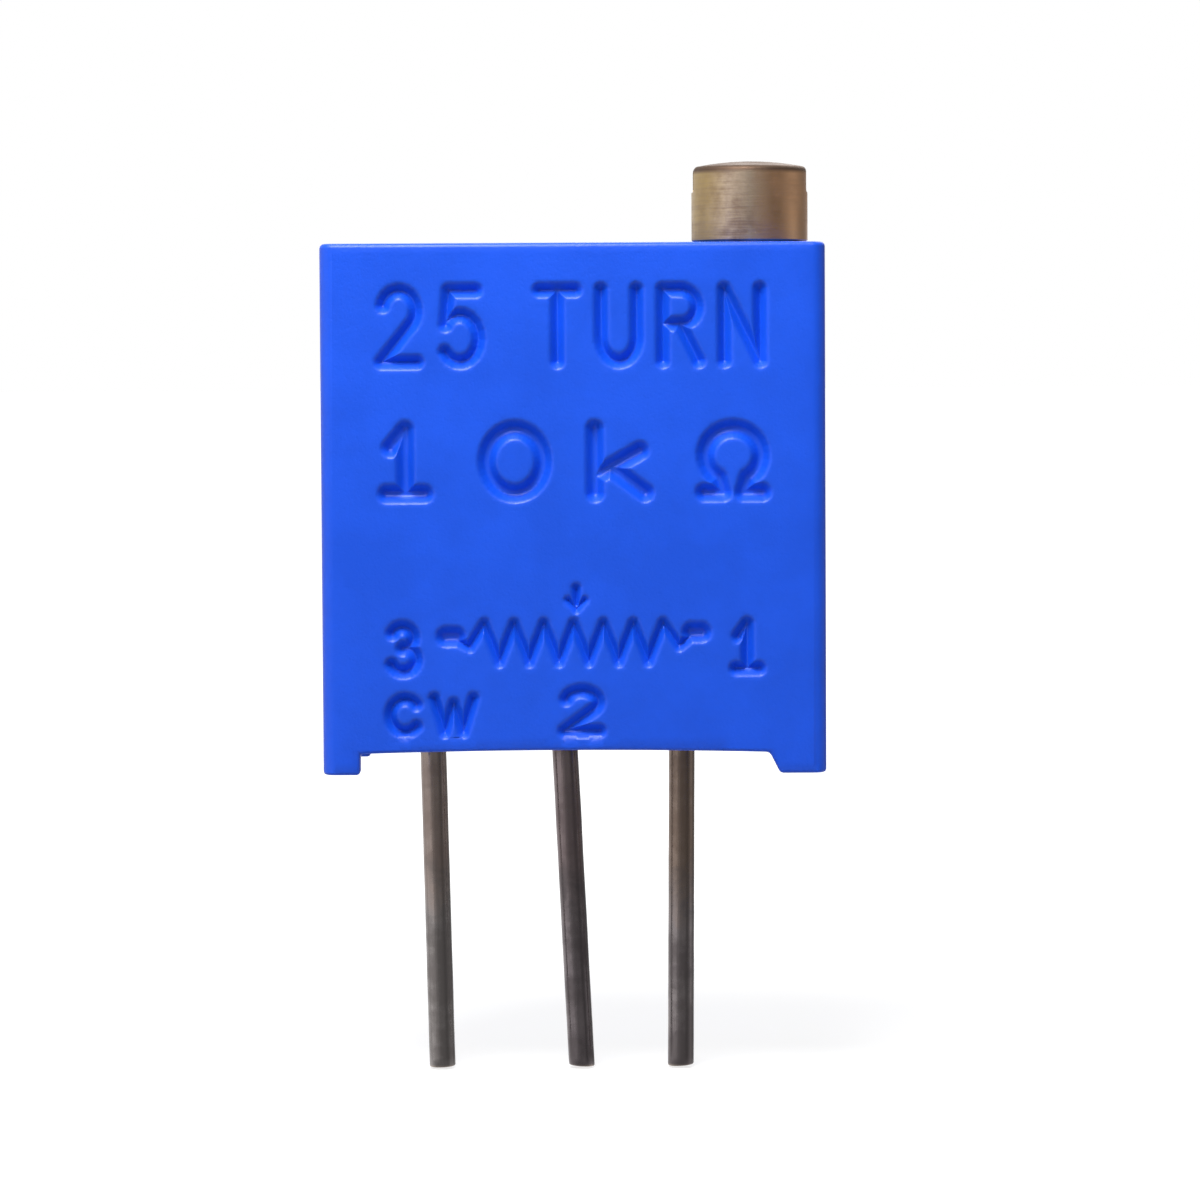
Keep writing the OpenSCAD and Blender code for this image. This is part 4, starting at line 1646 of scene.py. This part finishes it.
@dataclass
class Studio:
    """The camera, the lamps, the world and the floor.

    Lengths are in millimetres, but for clip, which is in metres. Each of the patches is a lighter or darker
    spot of the world in reflections: its azimuth, its elevation and what it adds there.
    """

    eye: Triple = (0.681, -92.415, 7.856)
    pitch: float = 2.9
    roll: float = 0.314
    lens: float = 143.3
    sensor: float = 36.0
    clip: Point = (0.001, 20.0)
    target: Triple = (0.19, 0.0, 3.3)
    floor_size: float = 4000.0
    floor_gap: float = 0.02
    floor_tone: float = 0.42
    floor_swing: float = 0.02
    floor_scale: float = 40.0
    floor_glow: float = 0.72
    white_from: Point = (14.0, 45.0)
    world_diffuse: float = 0.3
    world_front: float = 0.33
    mirror_span: Point = (-0.6, 0.5)
    patches: tuple[Triple, ...] = ((-40.0, 10.0, 0.28), (66.0, 5.0, -0.2), (130.0, 5.0, -0.75))
    patch_edge: Point = (0.82, 0.97)
    lamps: tuple[Lamp, ...] = (
        Lamp("key_lamp", -18, 58, 50, 24, 1.2),
        Lamp("side_lamp", -66, 10, 80, 90, 0.19),
        Lamp("back_lamp", 160, 40, 110, 80, 0.4),
    )

    def camera(self) -> None:
        """Makes the camera."""
        data = bpy.data.cameras.new("camera")
        data.lens, data.sensor_width = self.lens, self.sensor
        data.clip_start, data.clip_end = self.clip
        camera = bpy.data.objects.new("camera", data)
        camera.matrix_world = (Matrix.Translation(Vector(self.eye) * MM)
                               @ Matrix.Rotation(math.radians(90 - self.pitch), 4, "X")
                               @ Matrix.Rotation(math.radians(-self.roll), 4, "Z"))
        bpy.context.scene.collection.objects.link(camera)
        bpy.context.scene.camera = camera

    @staticmethod
    def rays(bench: Bench) -> tuple[Socket, Socket]:
        """Tells which rays the camera sees by, straight or through glass, and which are reflections."""
        path = bench.put("ShaderNodeLightPath").outputs
        return bench.most(path["Is Camera Ray"], path["Is Transmission Ray"]), path["Is Glossy Ray"]

    def world(self) -> None:
        """Makes a pale world: white to the camera, even on the part, darker in front in reflections."""
        world = bpy.data.worlds.new("world")
        bpy.context.scene.world = world
        bench = Bench.fresh(world)
        way = bench.put("ShaderNodeTexCoord").outputs["Generated"]
        mirrored = bench.spread(bench.parts(way)[1], *self.mirror_span, self.world_front, 1.0)
        for azimuth, elevation, level in self.patches:
            towards = bench.reach(way, direction(azimuth, elevation))
            mirrored = bench.plus(mirrored, bench.spread(towards, *self.patch_edge, 0.0, level))
        seen, glossy = self.rays(bench)
        plain = bench.times(bench.minus(1.0, bench.most(seen, glossy)), self.world_diffuse)
        strength = bench.plus(bench.plus(seen, plain), bench.times(glossy, mirrored))
        background = bench.put("ShaderNodeBackground", {"Color": (1.0, 1.0, 1.0, 1.0), "Strength": strength})
        bench.put("ShaderNodeOutputWorld", {"Surface": background.outputs[0]})

    def floor(self) -> None:
        """Makes the pale floor, clear from below and in reflections, which show the world in its place."""
        bm = bmesh.new()
        bmesh.ops.create_grid(bm, x_segments=1, y_segments=1, size=self.floor_size / 2,
                              matrix=Matrix.Translation((0, 0, CAD_BOX[0].z / MM - self.floor_gap)))
        floor = to_piece(bm, "floor")
        material = bpy.data.materials.new("floor_card")
        bench = Bench.fresh(material)
        place_of = bench.put("ShaderNodeTexCoord").outputs["Object"]
        tone = bench.spread(bench.clouds(place_of, self.floor_scale), 0.3, 0.7,
                            self.floor_tone - self.floor_swing, self.floor_tone + self.floor_swing)
        colour = bench.put("ShaderNodeCombineColor", {0: tone, 1: tone, 2: tone}).outputs[0]
        card = bench.put("ShaderNodeBsdfDiffuse", {"Color": colour}).outputs[0]
        away = bench.put("ShaderNodeVectorMath", {0: place_of}, operation="LENGTH").outputs["Value"]
        near, far = (distance * MM for distance in self.white_from)
        level = bench.spread(away, near, far, self.floor_glow)
        seen, glossy = self.rays(bench)
        glow = bench.put("ShaderNodeEmission", {"Strength": bench.times(seen, level)})
        both = bench.put("ShaderNodeAddShader", {0: card, 1: glow.outputs[0]}).outputs[0]
        clear = bench.put("ShaderNodeBsdfTransparent").outputs[0]
        unseen = bench.most(bench.put("ShaderNodeNewGeometry").outputs["Backfacing"], glossy)
        surface = bench.put("ShaderNodeMixShader", {0: unseen, 1: both, 2: clear}).outputs[0]
        bench.put("ShaderNodeOutputMaterial", {"Surface": surface})
        floor.data.materials.append(material)

    def set_up(self) -> None:
        """Builds the whole studio."""
        bpy.context.scene.view_settings.view_transform = "Standard"
        self.camera()
        self.world()
        self.floor()
        for lamp in self.lamps:
            lamp.hang(Vector(self.target))


def main() -> None:
    """Builds every piece in order, then the studio."""
    logging.basicConfig(level=logging.INFO, format="%(message)s")
    shelf = EffectShelf()
    housing = Housing()
    middle, half = (housing.low + housing.high) / 2, (housing.high - housing.low) / 2
    blue = MouldedPlastic("housing_plastic", (0.0045, 0.0905, 0.795), (0.02, 0.12, 0.865), 0.38, 0.005,
                          16.0, specular=0.45, centre=tuple(middle), half=tuple(half), rub=0.15)
    screw = AdjustingScrew()
    # The brass's rim band, from rim upward, is painted shade that darkens the top of the head.
    brass = TurnedMetal("screw_brass", (0.52, 0.405, 0.3), (0.27, 0.19, 0.134), 0.38, 0.006, 9.0,
                        metallic=1.0, centre=(*screw.centre, 10.0), tarnish=(0.62, 0.35, 0.19),
                        clean=(0.42, 0.295, 0.125), tarnish_turn=50.0, side_reach=(0.7, 1.0),
                        rim=screw.head_top - 10.26)
    # Each tin's stain darkens its lead towards the housing: partly heat stain, partly painted shadow.
    tin = DrawnWire("tinned_lead_1", (0.262, 0.232, 0.234), (0.168, 0.146, 0.148), 0.27, 0.004, 9.0,
                    metallic=1.0, cut=-5.9, stain=(0.235, 0.158, 0.108), stain_shadow_z=(-2.6, -1.6))
    tins = [tin, replace(tin, name="tinned_lead_2", colour=(0.21, 0.182, 0.19), accent=(0.135, 0.116, 0.12),
                         stain=(0.21, 0.16, 0.16)),
            replace(tin, name="tinned_lead_3", colour=(0.315, 0.29, 0.284), accent=(0.205, 0.185, 0.18),
                    stain=(0.29, 0.212, 0.18))]
    resin = Granular("potting_resin", (0.012, 0.030, 0.11), (0.03, 0.06, 0.17), 0.3, 0.004, 7.0,
                     specular=0.45, flow=2.0)
    leads = [Lead(1, 2.25, -0.045, 0.03), Lead(2, 0.0, 0.28, -0.03), Lead(3, -2.56, 0.13, 0.02)]
    housing.build(blue.make(shelf))
    screw.build(brass.make(shelf))
    for lead, finish in zip(leads, tins):
        lead.build(finish.make(shelf))
    PottingFill(leads).build(resin.make(shelf))
    Mechanism(shelf).dress()
    Studio().set_up()


if __name__ == "__main__":
    main()
